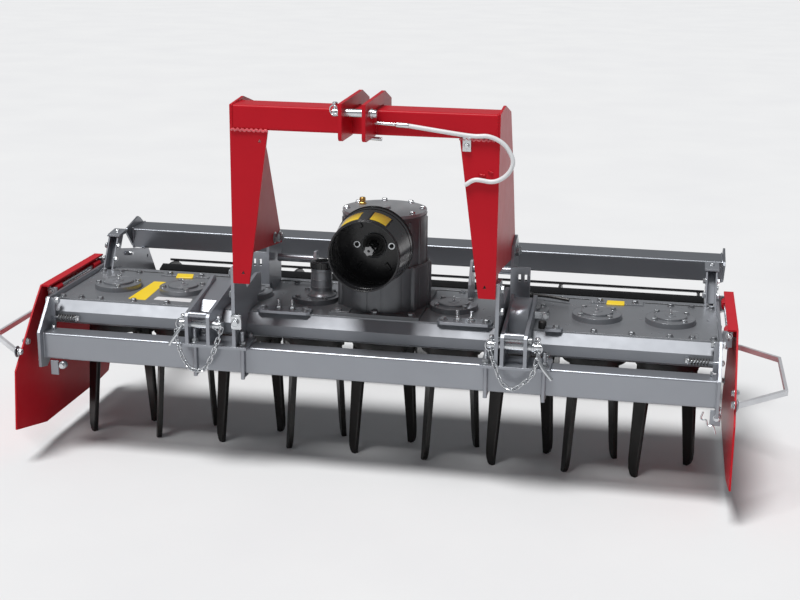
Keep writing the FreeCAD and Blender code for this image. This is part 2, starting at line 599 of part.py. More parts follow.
for side, name in SIDES:
    inner = across(side, "trough_half - tower_wide", "tower_wide")
    outer_leg = f"{inner} + tower_wide - tower_wall"
    towers.append(fuse([
        plate("X", inner, "tower_wall", TOWER_LEG), plate("X", outer_leg, "tower_wall", TOWER_LEG),
        plate("X", inner, "tower_wide", TOWER_WALL),
        plate("X", f"{inner} - 5", "tower_wide + 10", TOWER_CAP)]))

    # The arm hangs on a pin between an ear on the trough and the end plate.
    ears.append(plate("X", across(side, "ear_x - 10", 10), 10, [
        ("trough_rear", "pivot_z - 42"), ("pivot_y + 10", "pivot_z - 42"),
        ("pivot_y + 38", "pivot_z - 18"), ("pivot_y + 38", "pivot_z + 18"),
        ("trough_rear + 6", "trough_top - 6"), ("trough_rear", "trough_top - 6")],
        holes=[(("pivot_y", "pivot_z"), "pivot_radius")]))
    pin_length = "trough_half + end_thick + 7 - ear_x + 16"
    pivots.append(rod("X", (across(side, "ear_x - 16", pin_length), "pivot_y", "pivot_z"),
                      "pivot_radius", pin_length))

    arm_start = across(side, "arm_x - arm_thick / 2", "arm_thick")
    finish(plate("X", arm_start, "arm_thick", [
        ("pivot_y - 34", "pivot_z - 22"), ("pivot_y + 8", "pivot_z - 44"),
        ("roller_y - 250", "roller_z + 125"), ("roller_y - 62", "roller_z - 40"),
        ("roller_y + 30", "roller_z - 48"), ("roller_y + 56", "roller_z"),
        ("roller_y + 40", "roller_z + 50"), ("beam_front + 125", "beam_low - 125"),
        ("beam_front + 42", "beam_low"), ("beam_front - 2", "beam_low"),
        ("pivot_y + 12", "pivot_z + 100"), ("pivot_y - 8", "pivot_z + 84"),
        ("pivot_y - 34", "pivot_z + 20")],
        holes=[(("pivot_y", "pivot_z"), "pivot_radius + shaft_gap"),
               (("roller_y", "roller_z"), "stub_radius + 12"),
               (("pivot_y + 76", "pivot_z + 66"), 9), (("pivot_y + 112", "pivot_z + 57"), 9),
               (("pivot_y + 148", "pivot_z + 48"), 9), (("beam_front + 34", "beam_low - 40"), 7)
               ]), f"roller_arm_{name}")

    # Each bearing is a sleeve through the arm with a flange on the arm's inner face.
    flange_start = across(side, "arm_x - arm_thick / 2 - 12", 12)
    bearings.append(cut(fuse([
        rod("X", (across(side, "arm_x - 22", 44), "roller_y", "roller_z"), "stub_radius + 12",
            44),
        rod("X", (flange_start, "roller_y", "roller_z"), "stub_radius + 28", 12)]),
        [rod("X", (across(side, "arm_x - 30", 60), "roller_y", "roller_z"),
             "stub_radius + shaft_gap", 60)]))

    beam_ends.append(plate("X", across(side, "beam_half", 8), 8, [
        ("beam_front - 64", "beam_top"), ("beam_front + 4", "beam_low + 8"),
        ("beam_front + 30", "beam_low - 8"), ("beam_back - 20", "beam_low - 8"),
        ("beam_back + 18", "beam_top - 20"), ("beam_back - 50", "beam_top + 28"),
        ("beam_front + 70", "beam_top + 37"), ("beam_front - 52", "beam_top + 12")]))

finish(group(towers), "roller_towers")
finish(group(ears), "pivot_ears")
finish(group(pivots), "pivot_pins")
finish(group(bearings), "roller_bearings")
finish(group(beam_ends), "beam_ends")
finish(tube_section("X", "-beam_half", "2 * beam_half", "beam_front", "beam_back",
                    "beam_low", "beam_top", "beam_wall", "bar_corner"), "roller_beam")

# The cage roller: a tube axle with stub shafts, discs, and flat bars laid on the disc rims. It is
# turned so that two bars rest on the floor.
finish(fuse([
    rod("X", ("-roller_half", "roller_y", "roller_z"), "roller_tube", "2 * roller_half"),
    rod("X", ("-arm_x - 28", "roller_y", "roller_z"), "stub_radius", "2 * arm_x + 56")]),
    "roller_axle")

DISCS = 5
BARS = 10
discs = []
for step in range(DISCS):
    start = f"-roller_half + {step} * (2 * roller_half - disc_thick) / {DISCS - 1}"
    rim = rod("X", (start, "roller_y", "roller_z"), "roller_radius - roller_bar_thick - 1.5",
              "disc_thick")
    eye = rod("X", (f"{start} - 5", "roller_y", "roller_z"), "roller_tube", "disc_thick + 10")
    discs.append(cut(rim, [eye]))
finish(group(discs), "roller_discs")

slats = []
for step in range(BARS):
    turn = f"({step} * 360 / {BARS} + 180 / {BARS})"
    corners = []
    for out, along in (("roller_radius", -1), ("roller_radius", 1),
                       ("(roller_radius - roller_bar_thick)", 1),
                       ("(roller_radius - roller_bar_thick)", -1)):
        half = f"({along}) * roller_bar_wide / 2"
        corners.append((f"roller_y + {out} * sin{turn} + {half} * cos{turn}",
                        f"roller_z - {out} * cos{turn} + {half} * sin{turn}"))
    slats.append(corners)
cage = new_body("Cage")
pad(cage, "X", "-roller_half - bar_overhang", "2 * (roller_half + bar_overhang)", slats)
finish(cage, "roller_bars")

# ---------------------------------------------------------------- side plates and guards
# Each side plate hangs on a rod along its top and can swing outwards.
KNUCKLES = (-150, 195)
RAIL = [("side_x + side_thick", -404), ("guard_x", -236), ("guard_x", 118),
        ("guard_x - 130", 230), ("side_x + side_thick", 242)]
hinges, hinge_tabs = [], []
for side, name in SIDES:
    mirror = "-" if side < 0 else ""
    web = plate("X", across(side, "side_x", "side_thick"), "side_thick", [
        (-190, "side_top"), ("-side_front + 195", "side_top - 60"),
        ("-side_front + 22", "side_top - 248"), ("-side_front", "side_bottom + 55"),
        (-215, "side_bottom"), ("side_rear - 115", "side_bottom"),
        ("side_rear - 15", "side_bottom + 8"), ("side_rear", "side_bottom + 35"),
        ("side_rear", 200), (300, 330), (295, "side_top")])
    fold = plate("Z", "side_top - side_thick", "side_thick", rect(
        "-side_x" if side < 0 else "side_x - side_fold",
        "-side_x + side_fold" if side < 0 else "side_x", -190, 295))
    axis = f"({mirror}(hinge_x))"
    pieces = [web, fold]
    for y in KNUCKLES:
        pieces.append(rod("Y", (axis, y, "hinge_z"), "hinge_radius + knuckle_wall",
                          "knuckle_long"))
        pieces.append(box((across(side, "hinge_x", "(side_x - hinge_x)"), y, "hinge_z - 8"),
                          ("side_x - hinge_x", "knuckle_long", 16)))
    bore = rod("Y", (axis, -220, "hinge_z"), "hinge_radius + shaft_gap", 560)
    finish(cut(fuse(pieces), [bore]), f"side_plate_{name}")

    hinges.append(rod("Y", (axis, -168, "hinge_z"), "hinge_radius", 458))
    for y in (-165, 275):
        tab = box((across(side, "trough_half + end_thick", "hinge_out + 12 - end_thick"), y,
                   "hinge_z - 40"), ("hinge_out + 12 - end_thick", 10, 54))
        hinge_tabs.append(cut(tab, [rod("Y", (axis, y - 5, "hinge_z"), "hinge_radius", 20)]))

    outer = [(f"{mirror}({x})", y) for x, y in RAIL]
    inner = [(f"{mirror}({x} - {dx} * guard_thick)", f"{y} + {dy} * guard_thick")
             for (x, y), dx, dy in zip(RAIL, (0, 1, 1, 0.3, 0), (1.4, 0.8, -0.7, -1, -1))]
    finish(plate("Z", "guard_z - guard_high / 2", "guard_high", outer + inner[::-1]),
           f"guard_rail_{name}")
finish(group(hinges), "side_hinge_rods")
finish(group(hinge_tabs), "side_hinge_tabs")

# ---------------------------------------------------------------- drive shaft hook
# The hook that holds the drive shaft when the harrow is parked: a bent rod in front of the
# crossbar and the right mast, and the clip plate that carries it. Its points are (X, Z below
# the mast's top).
HOOK = [(57, -41), (150, -45), (345, -63), (405, -59), (447, -77), (474, -107), (486, -138),
        (476, -169), (452, -192), (420, -203), (367, -199), (336, -217)]
hook = [box((352, "-mast_front - 6", "mast_top - 104"), (34, 6, 44))]
for (x0, z0), (x1, z1) in zip(HOOK, HOOK[1:]):
    part = doc.addObject("Part::Cylinder", "Rod")
    part.setExpression("Radius", expression("hook_radius"))
    part.Height = math.hypot(x1 - x0, z1 - z0)
    part.Placement = FreeCAD.Placement(FreeCAD.Vector(), FreeCAD.Rotation(
        FreeCAD.Vector(0, 0, 1), FreeCAD.Vector(x1 - x0, 0, z1 - z0)))
    place(part, (x0, "-mast_front - hook_radius", f"mast_top + {z0}"))
    bend = doc.addObject("Part::Sphere", "Bend")
    bend.setExpression("Radius", expression("hook_radius"))
    place(bend, (x1, "-mast_front - hook_radius", f"mast_top + {z1}"))
    hook += [part, bend]
finish(fuse(hook), "shaft_hook")
doc.recompute()

# ---------------------------------------------------------------- rotors and tines
# Half widths of a tine's blade from the tip up: height, share of the width on the rounded edge,
# width. The other edge is straight.
BLADE = [(0, 0.0, "tine_tip_width"), (8, 0.45, "tine_tip_width"), (25, 0.85, "tine_tip_width + 1"),
         (55, 1.0, "tine_tip_width + 3"), ("tine_root", 1.0, "tine_top_width")]


def blade_corners(hand, height, share, width):
    """Octagon of a blade at one height, in the rotor's own plane."""
    turn = f"(90 + {hand} * tine_grip)"
    middle = f"(tine_circle - tine_lean * ({height}) / tine_root)"
    straight, rounded = f"({width}) / 2", f"-({width}) / 2 * {share}"
    thick = "tine_thick / 2"
    corners = []
    for a, b in ((f"{rounded} + tine_trim", f"-{thick}"), (f"{straight} - tine_trim", f"-{thick}"),
                 (straight, f"-{thick} + tine_trim"), (straight, f"{thick} - tine_trim"),
                 (f"{straight} - tine_trim", thick), (f"{rounded} + tine_trim", thick),
                 (rounded, f"{thick} - tine_trim"), (rounded, f"-{thick} + tine_trim")):
        corners.append((f"{middle} + {hand} * ({a}) * cos{turn} - ({b}) * sin{turn}",
                        f"{hand} * ({a}) * sin{turn} + ({b}) * cos{turn}"))
    return corners


def turn_rotor(body, hand):
    """Rest position of a rotor; neighbours stand at mirrored angles because their gears mesh."""
    body.Placement = FreeCAD.Placement(FreeCAD.Vector(), FreeCAD.Rotation(
        FreeCAD.Vector(0, 0, 1), evaluate(f"tine_turn - {hand} * tine_phase")))


def forged_pair(hand):
    """Two forged tines on opposite sides of a rotor, each lofted through five levels."""
    body = new_body("Tines")
    sections = []
    for height, share, width in BLADE:
        sketch = sketch_on(body, "Z", height)
        polygon(sketch, blade_corners(hand, height, share, width))
        sections.append(sketch)
    doc.recompute()
    loft = body.newObject("PartDesign::AdditiveLoft", "Forging")
    loft.Profile = sections[0]
    loft.Sections = sections[1:]
    loft.Ruled = True
    doc.recompute()
    pair_pattern(body, loft)
    turn_rotor(body, hand)
    return body


def lug_pair(hand):
    """The two blocks under a rotor's flange that the tines are bolted to, on their inner face."""
    body = new_body("Lugs")
    turn = f"(90 + {hand} * tine_grip)"
    face = "(tine_thick / 2 + 0.02)"
    corners = []
    for a, b in (("-lug_half", face), ("lug_half", face), ("lug_half", f"({face} + lug_thick)"),
                 ("-lug_half", f"({face} + lug_thick)")):
        corners.append((f"tine_circle - tine_lean + ({a}) * cos{turn} - {b} * sin{turn}",
                        f"({a}) * sin{turn} + {b} * cos{turn}"))
    block = pad(body, "Z", "flange_top - flange_thick - lug_drop", "lug_drop + 5", [corners])
    pair_pattern(body, block)
    turn_rotor(body, hand)
    return body


for number, x in enumerate(ROTOR_X):
    hand = 1 if number % 2 == 0 else -1
    finish(forged_pair(hand), f"rotor_{number + 1}_tines", (x, "row_shift", 0))
    pieces = [
        rod("Z", (0, 0, "flange_top - flange_thick"), "shaft_radius",
            "trough_floor + gear_lift - flange_top + flange_thick + gear_thick"),
        rod("Z", (0, 0, "flange_top - flange_thick"), "flange_radius", "flange_thick"),
        rod("Z", (0, 0, "trough_floor + gear_lift"), "gear_radius", "gear_thick"),
        lug_pair(hand)]
    if number == MIDDLE:
        pieces.append(rod("Z", (0, 0, "trough_floor + gear_lift"), "shaft_radius",
                          "drive_length"))
        pieces.append(rod("Z", (0, 0, "trough_top + crown_lift"), "crown_radius", "crown_thick"))
    finish(fuse(pieces), f"rotor_{number + 1}_hub", (x, "row_shift", 0))
doc.recompute()


def write_parts():
    os.makedirs("parts", exist_ok=True)
    for item in doc.Objects:
        if "Invalid" in item.State or "Error" in item.State:
            raise ValueError(f"{item.Label} failed: {item.State}")
    for item in NODES:
        if item.Shape.isNull() or not item.Shape.isValid():
            raise ValueError(f"{item.Label} has no valid shape")
    for item in NODES:
        item.Shape.exportStep(os.path.join("parts", item.Label + ".step"))


write_parts()
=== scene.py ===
import bmesh
import bpy
import json
from math import copysign, cos, radians, sin, tau
from mathutils import Matrix, Vector


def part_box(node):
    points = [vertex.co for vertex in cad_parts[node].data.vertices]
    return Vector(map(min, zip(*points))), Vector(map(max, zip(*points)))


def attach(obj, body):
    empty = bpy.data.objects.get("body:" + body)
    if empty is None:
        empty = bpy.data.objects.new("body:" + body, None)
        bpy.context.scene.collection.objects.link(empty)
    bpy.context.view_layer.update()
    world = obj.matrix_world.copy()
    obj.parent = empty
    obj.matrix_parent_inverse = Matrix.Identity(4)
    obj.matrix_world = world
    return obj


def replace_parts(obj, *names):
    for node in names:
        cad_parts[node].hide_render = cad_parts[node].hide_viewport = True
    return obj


# Power harrow: the paint, wear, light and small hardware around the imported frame. Sizes are in
# metres, and in millimetres inside mm(). Places are given from the rotor row along Y, from the
# middle along X and from the floor.

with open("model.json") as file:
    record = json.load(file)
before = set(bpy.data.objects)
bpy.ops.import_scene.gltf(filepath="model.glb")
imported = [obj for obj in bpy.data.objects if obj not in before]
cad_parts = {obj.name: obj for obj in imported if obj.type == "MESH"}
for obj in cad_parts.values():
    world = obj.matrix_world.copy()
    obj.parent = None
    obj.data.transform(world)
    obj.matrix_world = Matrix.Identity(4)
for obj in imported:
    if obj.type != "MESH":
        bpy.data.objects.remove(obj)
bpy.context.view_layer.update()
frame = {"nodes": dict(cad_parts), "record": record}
scene = bpy.context.scene
ROW = sum(corner.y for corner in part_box("rotor_5_hub")) / 2
TO_ROW = Vector((0, ROW, 0))


def low(node):
    """The low corner of a node's box, its y counted from the rotor row."""
    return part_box(node)[0] - TO_ROW


def high(node):
    """The high corner, counted in the same way."""
    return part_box(node)[1] - TO_ROW


def middle(node):
    """The middle, counted in the same way."""
    return (low(node) + high(node)) / 2


PITCH = middle("rotor_6_hub").x - middle("rotor_5_hub").x
SIDES = (-1, 1)
UP, DOWN, FORWARD, RIGHT = (0, 0, 1), (0, 0, -1), (0, -1, 0), (1, 0, 0)


def at(x, y, z):
    """A place whose y is counted from the rotor row."""
    return Vector((x, ROW + y, z))


def facing(place, axis=UP, turn=0.0):
    """A frame at a place whose z runs along axis, turned about it by some degrees."""
    axis = Vector(axis).normalized()
    side = Vector((1, 0, 0))
    if abs(axis.y) < 0.9:
        side = Vector((0, 1, 0)).cross(axis).normalized()
    lean = Matrix((side, axis.cross(side), axis)).transposed().to_4x4()
    return Matrix.Translation(place) @ lean @ Matrix.Rotation(radians(turn), 4, "Z")


def spot(x, y, z, axis=UP, turn=0.0):
    """The same frame, its y counted from the rotor row."""
    return facing(at(x, y, z), axis, turn)


def facing_out(side, x, y, z, turn=0.0):
    """A frame on the left (-1) or right (1) half that faces away from the middle."""
    return spot(side * x, y, z, (side, 0, 0), turn)


def facing_in(side, x, y, z, turn=0.0):
    """A frame on the left (-1) or right (1) half that faces the middle."""
    return spot(side * x, y, z, (-side, 0, 0), turn)


def lift(place, height):
    """The same frame, moved along its own z."""
    return place @ Matrix.Translation((0, 0, height))


def mm(*points):
    """Points given in millimetres."""
    return [(x / 1000, y / 1000) for x, y in points]


def oblong(x0, y0, x1, y1):
    """The outline of a rectangle from two opposite corners."""
    return [(x0, y0), (x1, y0), (x1, y1), (x0, y1)]


# --- lines and shapes
def smooth_line(points, steps=6):
    """A Catmull-Rom line through the points."""
    points = [Vector(p) for p in points]
    padded = [2 * points[0] - points[1]] + points + [2 * points[-1] - points[-2]]
    line = []
    for a, b, c, d in zip(padded, padded[1:], padded[2:], padded[3:]):
        for step in range(steps):
            t = step / steps
            line.append(0.5 * (2 * b + (c - a) * t + (2 * a - 5 * b + 4 * c - d) * t ** 2
                               + (3 * b - a - 3 * c + d) * t ** 3))
    return line + [points[-1]]


def even_line(points, spacing):
    """The same line with its points spacing apart, both ends kept."""
    lengths = [0.0]
    for a, b in zip(points, points[1:]):
        lengths.append(lengths[-1] + (b - a).length)
    count = max(2, round(lengths[-1] / spacing))
    line, segment = [], 0
    for step in range(count + 1):
        goal = lengths[-1] * step / count
        while segment < len(points) - 2 and lengths[segment + 1] < goal:
            segment += 1
        run = lengths[segment + 1] - lengths[segment]
        line.append(points[segment].lerp(points[segment + 1], (goal - lengths[segment]) / run))
    return line


def circle(centre, axis, radius, start=0.0, sweep=360.0, count=32):
    """Points round a circle; a full turn leaves out the repeated last point."""
    frame_here = facing(centre, axis)
    last = count if sweep >= 360 else count + 1
    turns = [radians(start + sweep * k / count) for k in range(last)]
    return [frame_here @ Vector((radius * cos(a), radius * sin(a), 0)) for a in turns]


class Shape:
    """The points and faces of one piece, collected from many small solids."""
    WASHER = 0.0022  # thickness of a washer

    def __init__(self):
        self.points, self.faces = [], []

    def rings(self, rows, closed=False):
        """Joins rows of points, each a closed ring, and caps the first and last row."""
        first = len(self.points)
        size = len(rows[0])
        for row in rows:
            self.points += row
        count = len(rows)
        for r in range(count if closed else count - 1):
            a, b = first + r * size, first + (r + 1) % count * size
            for k in range(size):
                n = (k + 1) % size
                self.faces.append((a + k, a + n, b + n, b + k))
        if not closed:
            self.faces.append(tuple(range(first, first + size))[::-1])
            self.faces.append(tuple(range(first + (count - 1) * size, first + count * size)))

    def lathe(self, place, outline, sides=28):
        """Turns (radius, height) pairs about the frame's z axis."""
        rows = []
        for radius, height in outline:
            turns = [tau * k / sides for k in range(sides)]
            rows.append([place @ Vector((radius * cos(a), radius * sin(a), height)) for a in turns])
        self.rings(rows)

    def prism(self, place, outline, thick, ease=0.0008):
        """A flat outline raised to a plate with eased top edges."""
        centre = sum((Vector(p) for p in outline), Vector((0, 0))) / len(outline)

        def level(inset, height):
            row = []
            for p in outline:
                inward = centre - Vector(p)
                x, y = Vector(p) + inward.normalized() * min(inset, inward.length / 2)
                row.append(place @ Vector((x, y, height)))
            return row
        self.rings([level(0, 0), level(0, thick - ease), level(ease * 1.4, thick)])

    def block(self, place, size, ease):
        """A block with eased corners, centred on the frame's origin and standing on it."""
        x, y, z = size[0] / 2, size[1] / 2, size[2]
        outline = []
        for sx, sy, flip in ((1, 1, 0), (-1, 1, 1), (-1, -1, 0), (1, -1, 1)):
            pair = [(sx * x, sy * (y - ease)), (sx * (x - ease), sy * y)]
            outline += pair[::-1] if flip else pair
        self.prism(place, outline, z, ease)

    def sweep(self, line, radius, sides=8, closed=False, widths=None):
        """Carries a circle along a line; widths scales the radius at each point."""
        line = [Vector(p) for p in line]
        count = len(line)
        ahead = []
        for k in range(count):
            before = line[k - 1] if k or closed else line[0]
            after = line[(k + 1) % count] if k < count - 1 or closed else line[-1]
            ahead.append((after - before).normalized())
        if closed:
            across = sum((a.cross(b) for a, b in zip(ahead, ahead[1:])), Vector()).normalized()
        else:
            across = ahead[0].orthogonal().normalized()
        rows = []
        for k in range(count):
            across = (across - across.dot(ahead[k]) * ahead[k]).normalized()
            up = ahead[k].cross(across)
            wide = radius * (widths[k] if widths else 1)
            turns = [tau * s / sides for s in range(sides)]
            rows.append([line[k] + wide * (cos(a) * across + sin(a) * up) for a in turns])
        self.rings(rows, closed)

    def hoop(self, centre, axis, radius, wire, count=28, sides=8):
        """A ring of round wire."""
        self.sweep(circle(centre, axis, radius, count=count), wire, sides, closed=True)

    def weld(self, points, radius, ripple=0.005):
        """A rippled weld bead along straight runs, thin at its ends."""
        line = even_line([Vector(p) for p in points], ripple / 2)
        widths = [(1.12 if k % 2 else 0.9) + 0.08 * sin(k * 1.7) for k in range(len(line))]
        widths[0] = widths[-1] = 0.35
        self.sweep(line, radius, 6, widths=widths)

    def seam(self, *ends, radius=0.003):
        """A weld bead through places whose y is counted from the rotor row."""
        self.weld([at(*end) for end in ends], radius)

    # --- fasteners
    def washer(self, place, radius, thick=WASHER):
        """A washer that bites a little into what it lies on."""
        self.lathe(place, [(radius * 0.3, -0.0004), (radius, -0.0004), (radius, thick * 0.7),
                           (radius * 0.95, thick), (radius * 0.3, thick)], 20)

    def hexagon(self, place, radius, tall):
        """A hexagon nut or bolt head with its corners turned off."""
        self.lathe(place, [(radius * 0.9, 0), (radius, tall * 0.1), (radius, tall * 0.82),
                           (radius * 0.87, tall), (radius * 0.2, tall)], 6)

    def bolt(self, place, radius, tall, washer=1.3):
        """A bolt head on its washer; radius is over the head's corners."""
        self.washer(place, radius * washer)
        self.hexagon(lift(place, self.WASHER), radius, tall)

    def thread(self, place, radius, long, pitch=0.002):
        """A threaded end with a blunt tip."""
        turns = max(2, round(long / pitch))
        outline = [(radius * 0.86, 0)]
        for k in range(turns):
            outline += [(radius, (k + 0.5) * long / turns), (radius * 0.86, (k + 1) * long / turns)]
        self.lathe(place, outline, 12)

    def stud(self, place, radius, tall, rise):
        """A nut and washer with the bolt's threaded end standing through them."""
        self.bolt(place, radius, tall)
        self.thread(lift(place, tall + self.WASHER), radius * 0.56, rise)

    def nipple(self, place, size=1.0):
        """A grease nipple: hexagon, waist and ball."""
        s = size * 0.001
        self.hexagon(place, 6.5 * s, 6 * s)
        self.lathe(place, [(3 * s, 6 * s), (3 * s, 8 * s), (2.2 * s, 10 * s), (2.2 * s, 13 * s),
                           (3.4 * s, 14.5 * s), (3.2 * s, 17 * s), (1.5 * s, 18.5 * s)], 12)

    def label(self, corners, level, thick=0.0005, corner=0.006):
        """A thin blank sticker with rounded corners lying on a level face."""
        outline = []
        count = len(corners)
        for k in range(count):
            here = Vector(corners[k])
            to_last = (Vector(corners[k - 1]) - here).normalized() * corner
            to_next = (Vector(corners[(k + 1) % count]) - here).normalized() * corner
            for t in (0, 0.35, 0.65, 1):
                outline.append(here + to_last * (1 - t) ** 2 + to_next * t ** 2)
        self.prism(spot(0, 0, level), outline, thick, thick * 0.3)


SHARP_ANGLE = radians(32)
# Radius over the corners and height of the fasteners used most.
SMALL_HEAD, SMALL_NUT = (0.01, 0.007), (0.01, 0.008)


def add_object(name, data):
    """Puts new data in the scene as an object."""
    item = bpy.data.objects.new(name, data)
    scene.collection.objects.link(item)
    return item


def piece(name, shape, slot, material=None, body="frame"):
    """Makes the solids one piece on a body; its material is the slot's unless one is given."""
    mesh = bpy.data.meshes.new(name)
    mesh.from_pydata(shape.points, [], shape.faces)
    solid = bmesh.new()
    solid.from_mesh(mesh)
    bmesh.ops.recalc_face_normals(solid, faces=solid.faces)
    solid.to_mesh(mesh)
    solid.free()
    mesh.polygons.foreach_set("use_smooth", [True] * len(mesh.polygons))
    mesh.set_sharp_from_angle(angle=SHARP_ANGLE)
    mesh.materials.append(material or FINISHES[slot])
    item = add_object(name, mesh)
    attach(item, body)
    return item


# --- finishes
class Finish:
    """Builds one material from nodes, all in the object's own coordinates."""

    def __init__(self, name):
        self.material = bpy.data.materials.new(name)
        self.material.use_nodes = True
        self.tree = self.material.node_tree
        self.shader = self.tree.nodes["Principled BSDF"]
        self.where = self.node("TexCoord").outputs["Object"]

    def node(self, kind, inputs=None, **settings):
        """Adds a shader node; an input is a value or the output it is linked to."""
        item = self.tree.nodes.new("ShaderNode" + kind)
        for key, value in settings.items():
            setattr(item, key, value)
        for key, value in (inputs or {}).items():
            if isinstance(value, bpy.types.NodeSocket):
                self.tree.links.new(value, item.inputs[key])
            else:
                item.inputs[key].default_value = value
        return item

    def noise(self, scale, detail, stretch=(1, 1, 1)):
        spread = self.node("Mapping", {"Vector": self.where, "Scale": stretch})
        return self.node("TexNoise", {"Vector": spread.outputs[0], "Scale": scale,
                                      "Detail": detail}).outputs["Fac"]

    def span(self, value, start, end, low_out=0.0, high_out=1.0):
        return self.node("MapRange", {"Value": value, "From Min": start, "From Max": end, "To Min": low_out,
                                      "To Max": high_out}).outputs[0]

    def times(self, a, b):
        return self.node("Math", {0: a, 1: b}, operation="MULTIPLY").outputs[0]

    def mix(self, factor, a, b):
        """Colour a turning into colour b."""
        return self.node("Mix", {0: factor, 6: a, 7: b}, data_type="RGBA").outputs[2]

    def set(self, **values):
        """Sets inputs of the shader, underscores standing for spaces."""
        for key, value in values.items():
            self.shader.inputs[key.replace("_", " ")].default_value = value

    def feed(self, key, value):
        self.tree.links.new(value, self.shader.inputs[key])


DUST = (0.36, 0.345, 0.32, 1)
BARE = (0.55, 0.56, 0.57, 1)


def surface(name, colour, metal=0.0, rough=0.4, spread=0.08, mottle=0.1, grain=(350, 0.06), dust=0.0,
            worn=0.0, coat=0.0, shine=0.5, streak=(1, 1, 1)):
    """Paint or metal: uneven colour and gloss, fine bumps, dust on top and wear on edges."""
    f = Finish(name)
    dark = (*[c * (1 - mottle) for c in colour], 1)
    light = (*[min(1, c * (1 + mottle)) for c in colour], 1)
    shade = f.mix(f.span(f.noise(9, 6, streak), 0.3, 0.7), dark, light)
    eased = f.node("Bevel", {"Radius": 0.0016}, samples=4).outputs[0]
    if worn:
        flat = f.node("NewGeometry").outputs["True Normal"]
        turned = f.node("VectorMath", {0: eased, 1: flat}, operation="DOT_PRODUCT").outputs["Value"]
        edge = f.times(f.span(turned, 0.97, 0.86), f.span(f.noise(60, 3), 0.42, 0.62, 0, worn))
        shade = f.mix(edge, shade, BARE)
    if dust:
        normal = f.node("NewGeometry").outputs["Normal"]
        upward = f.node("SeparateXYZ", {0: normal}).outputs["Z"]
        patches = f.span(f.noise(13, 8), 0.38, 0.72, 0.25, 1.0)
        shade = f.mix(f.times(f.span(upward, 0.3, 1.0, 0.0, dust), patches), shade, DUST)
    f.feed("Base Color", shade)
    f.feed("Roughness", f.span(f.noise(28, 5, streak), 0.3, 0.7, rough - spread, rough + spread))
    bump = f.node("Bump", {"Height": f.noise(grain[0], 3), "Strength": grain[1], "Distance": 0.001,
                           "Normal": eased})
    f.feed("Normal", bump.outputs[0])
    f.set(Metallic=metal, Coat_Weight=coat, Coat_Roughness=0.12, Specular_IOR_Level=shine)
    return f.material


FINISHES = {
    "red_paint": surface("red_gloss_paint", (0.5, 0.009, 0.019), rough=0.34, spread=0.02, mottle=0.03,
                         grain=(160, 0.004), shine=0.12),
    "silver_paint": surface("silver_grey_paint", (0.32, 0.335, 0.365), metal=0.62, rough=0.29, spread=0.015,
                            mottle=0.02, grain=(200, 0.005), worn=0.2),
    "trough_paint": surface("trough_grey_paint", (0.225, 0.235, 0.252), metal=0.4, rough=0.3, spread=0.03,
                            mottle=0.06, grain=(220, 0.008), dust=0.05, worn=0.3),
    "gearbox_paint": surface("cast_grey_paint", (0.115, 0.121, 0.13), metal=0.3, rough=0.36, mottle=0.12,
                             grain=(240, 0.2), dust=0.1, worn=0.2),
    "black_paint": surface("roller_black_paint", (0.012, 0.012, 0.014), rough=0.33, mottle=0.2,
                           grain=(200, 0.08), dust=0.03, worn=0.2, shine=0.35),
    "rotor_iron": surface("rotor_black_iron", (0.018, 0.018, 0.018), rough=0.45, mottle=0.25,
                          grain=(180, 0.35), dust=0.05),
    "tine_steel": surface("forged_tine_coating", (0.01, 0.009, 0.0085), rough=0.34, mottle=0.3,
                          grain=(120, 0.2), worn=0.25, shine=0.3, streak=(1, 1, 0.4)),
    "zinc_steel": surface("bright_zinc_plate", (0.66, 0.68, 0.7), metal=0.95, rough=0.26,
                          grain=(400, 0.02)),
    "shaft_steel": surface("machined_shaft_steel", (0.33, 0.33, 0.335), metal=0.9, rough=0.36,
                           grain=(600, 0.05)),
    "black_plastic": surface("black_moulded_plastic", (0.015, 0.015, 0.017), rough=0.24, spread=0.06,
                             mottle=0.2, grain=(300, 0.03)),
    "hook_sleeve": surface("pale_plastic_sleeve", (0.74, 0.75, 0.76), rough=0.32, mottle=0.04,
                           grain=(200, 0.03)),
}
BOLT_PAINT = surface("painted_bolt_heads", (0.25, 0.26, 0.275), metal=0.6, rough=0.3, mottle=0.2,
                     grain=(400, 0.1), worn=0.5)
SILVER_BOLT = surface("silver_bolt_heads", (0.36, 0.375, 0.39), metal=0.7, rough=0.3, mottle=0.15,
                      grain=(400, 0.08), worn=0.4)
YELLOW = surface("blank_yellow_label", (0.9, 0.64, 0.014), rough=0.35, spread=0.05, mottle=0.04,
                 grain=(120, 0.02))
WHITE = surface("blank_white_label", (0.74, 0.75, 0.76), rough=0.35, spread=0.05, mottle=0.03,
                grain=(120, 0.02), dust=0.06)
BRASS = surface("breather_brass", (0.72, 0.45, 0.13), metal=0.95, rough=0.3, mottle=0.12, grain=(400, 0.05))
# A glossy coat and a lighter red than the frame's paint: the coat is real gloss, the lighter colour is a
# painted highlight for glints on the rippled welds.
WELD_RED_HIGHLIGHT = surface("red_weld_bead_painted_highlight", (0.66, 0.1, 0.12), rough=0.22, mottle=0.4, grain=(200, 0.1), coat=0.5)
RAIL_METAL = surface("bright_guard_rail", (0.7, 0.71, 0.73), metal=0.6, mottle=0.08, grain=(400, 0.04))
TROUGH_SIDES = surface("trough_side_paint", (0.25, 0.262, 0.285), metal=0.25, rough=0.42, spread=0.02,
                       mottle=0.05, grain=(220, 0.008), worn=0.2, shine=0.35)
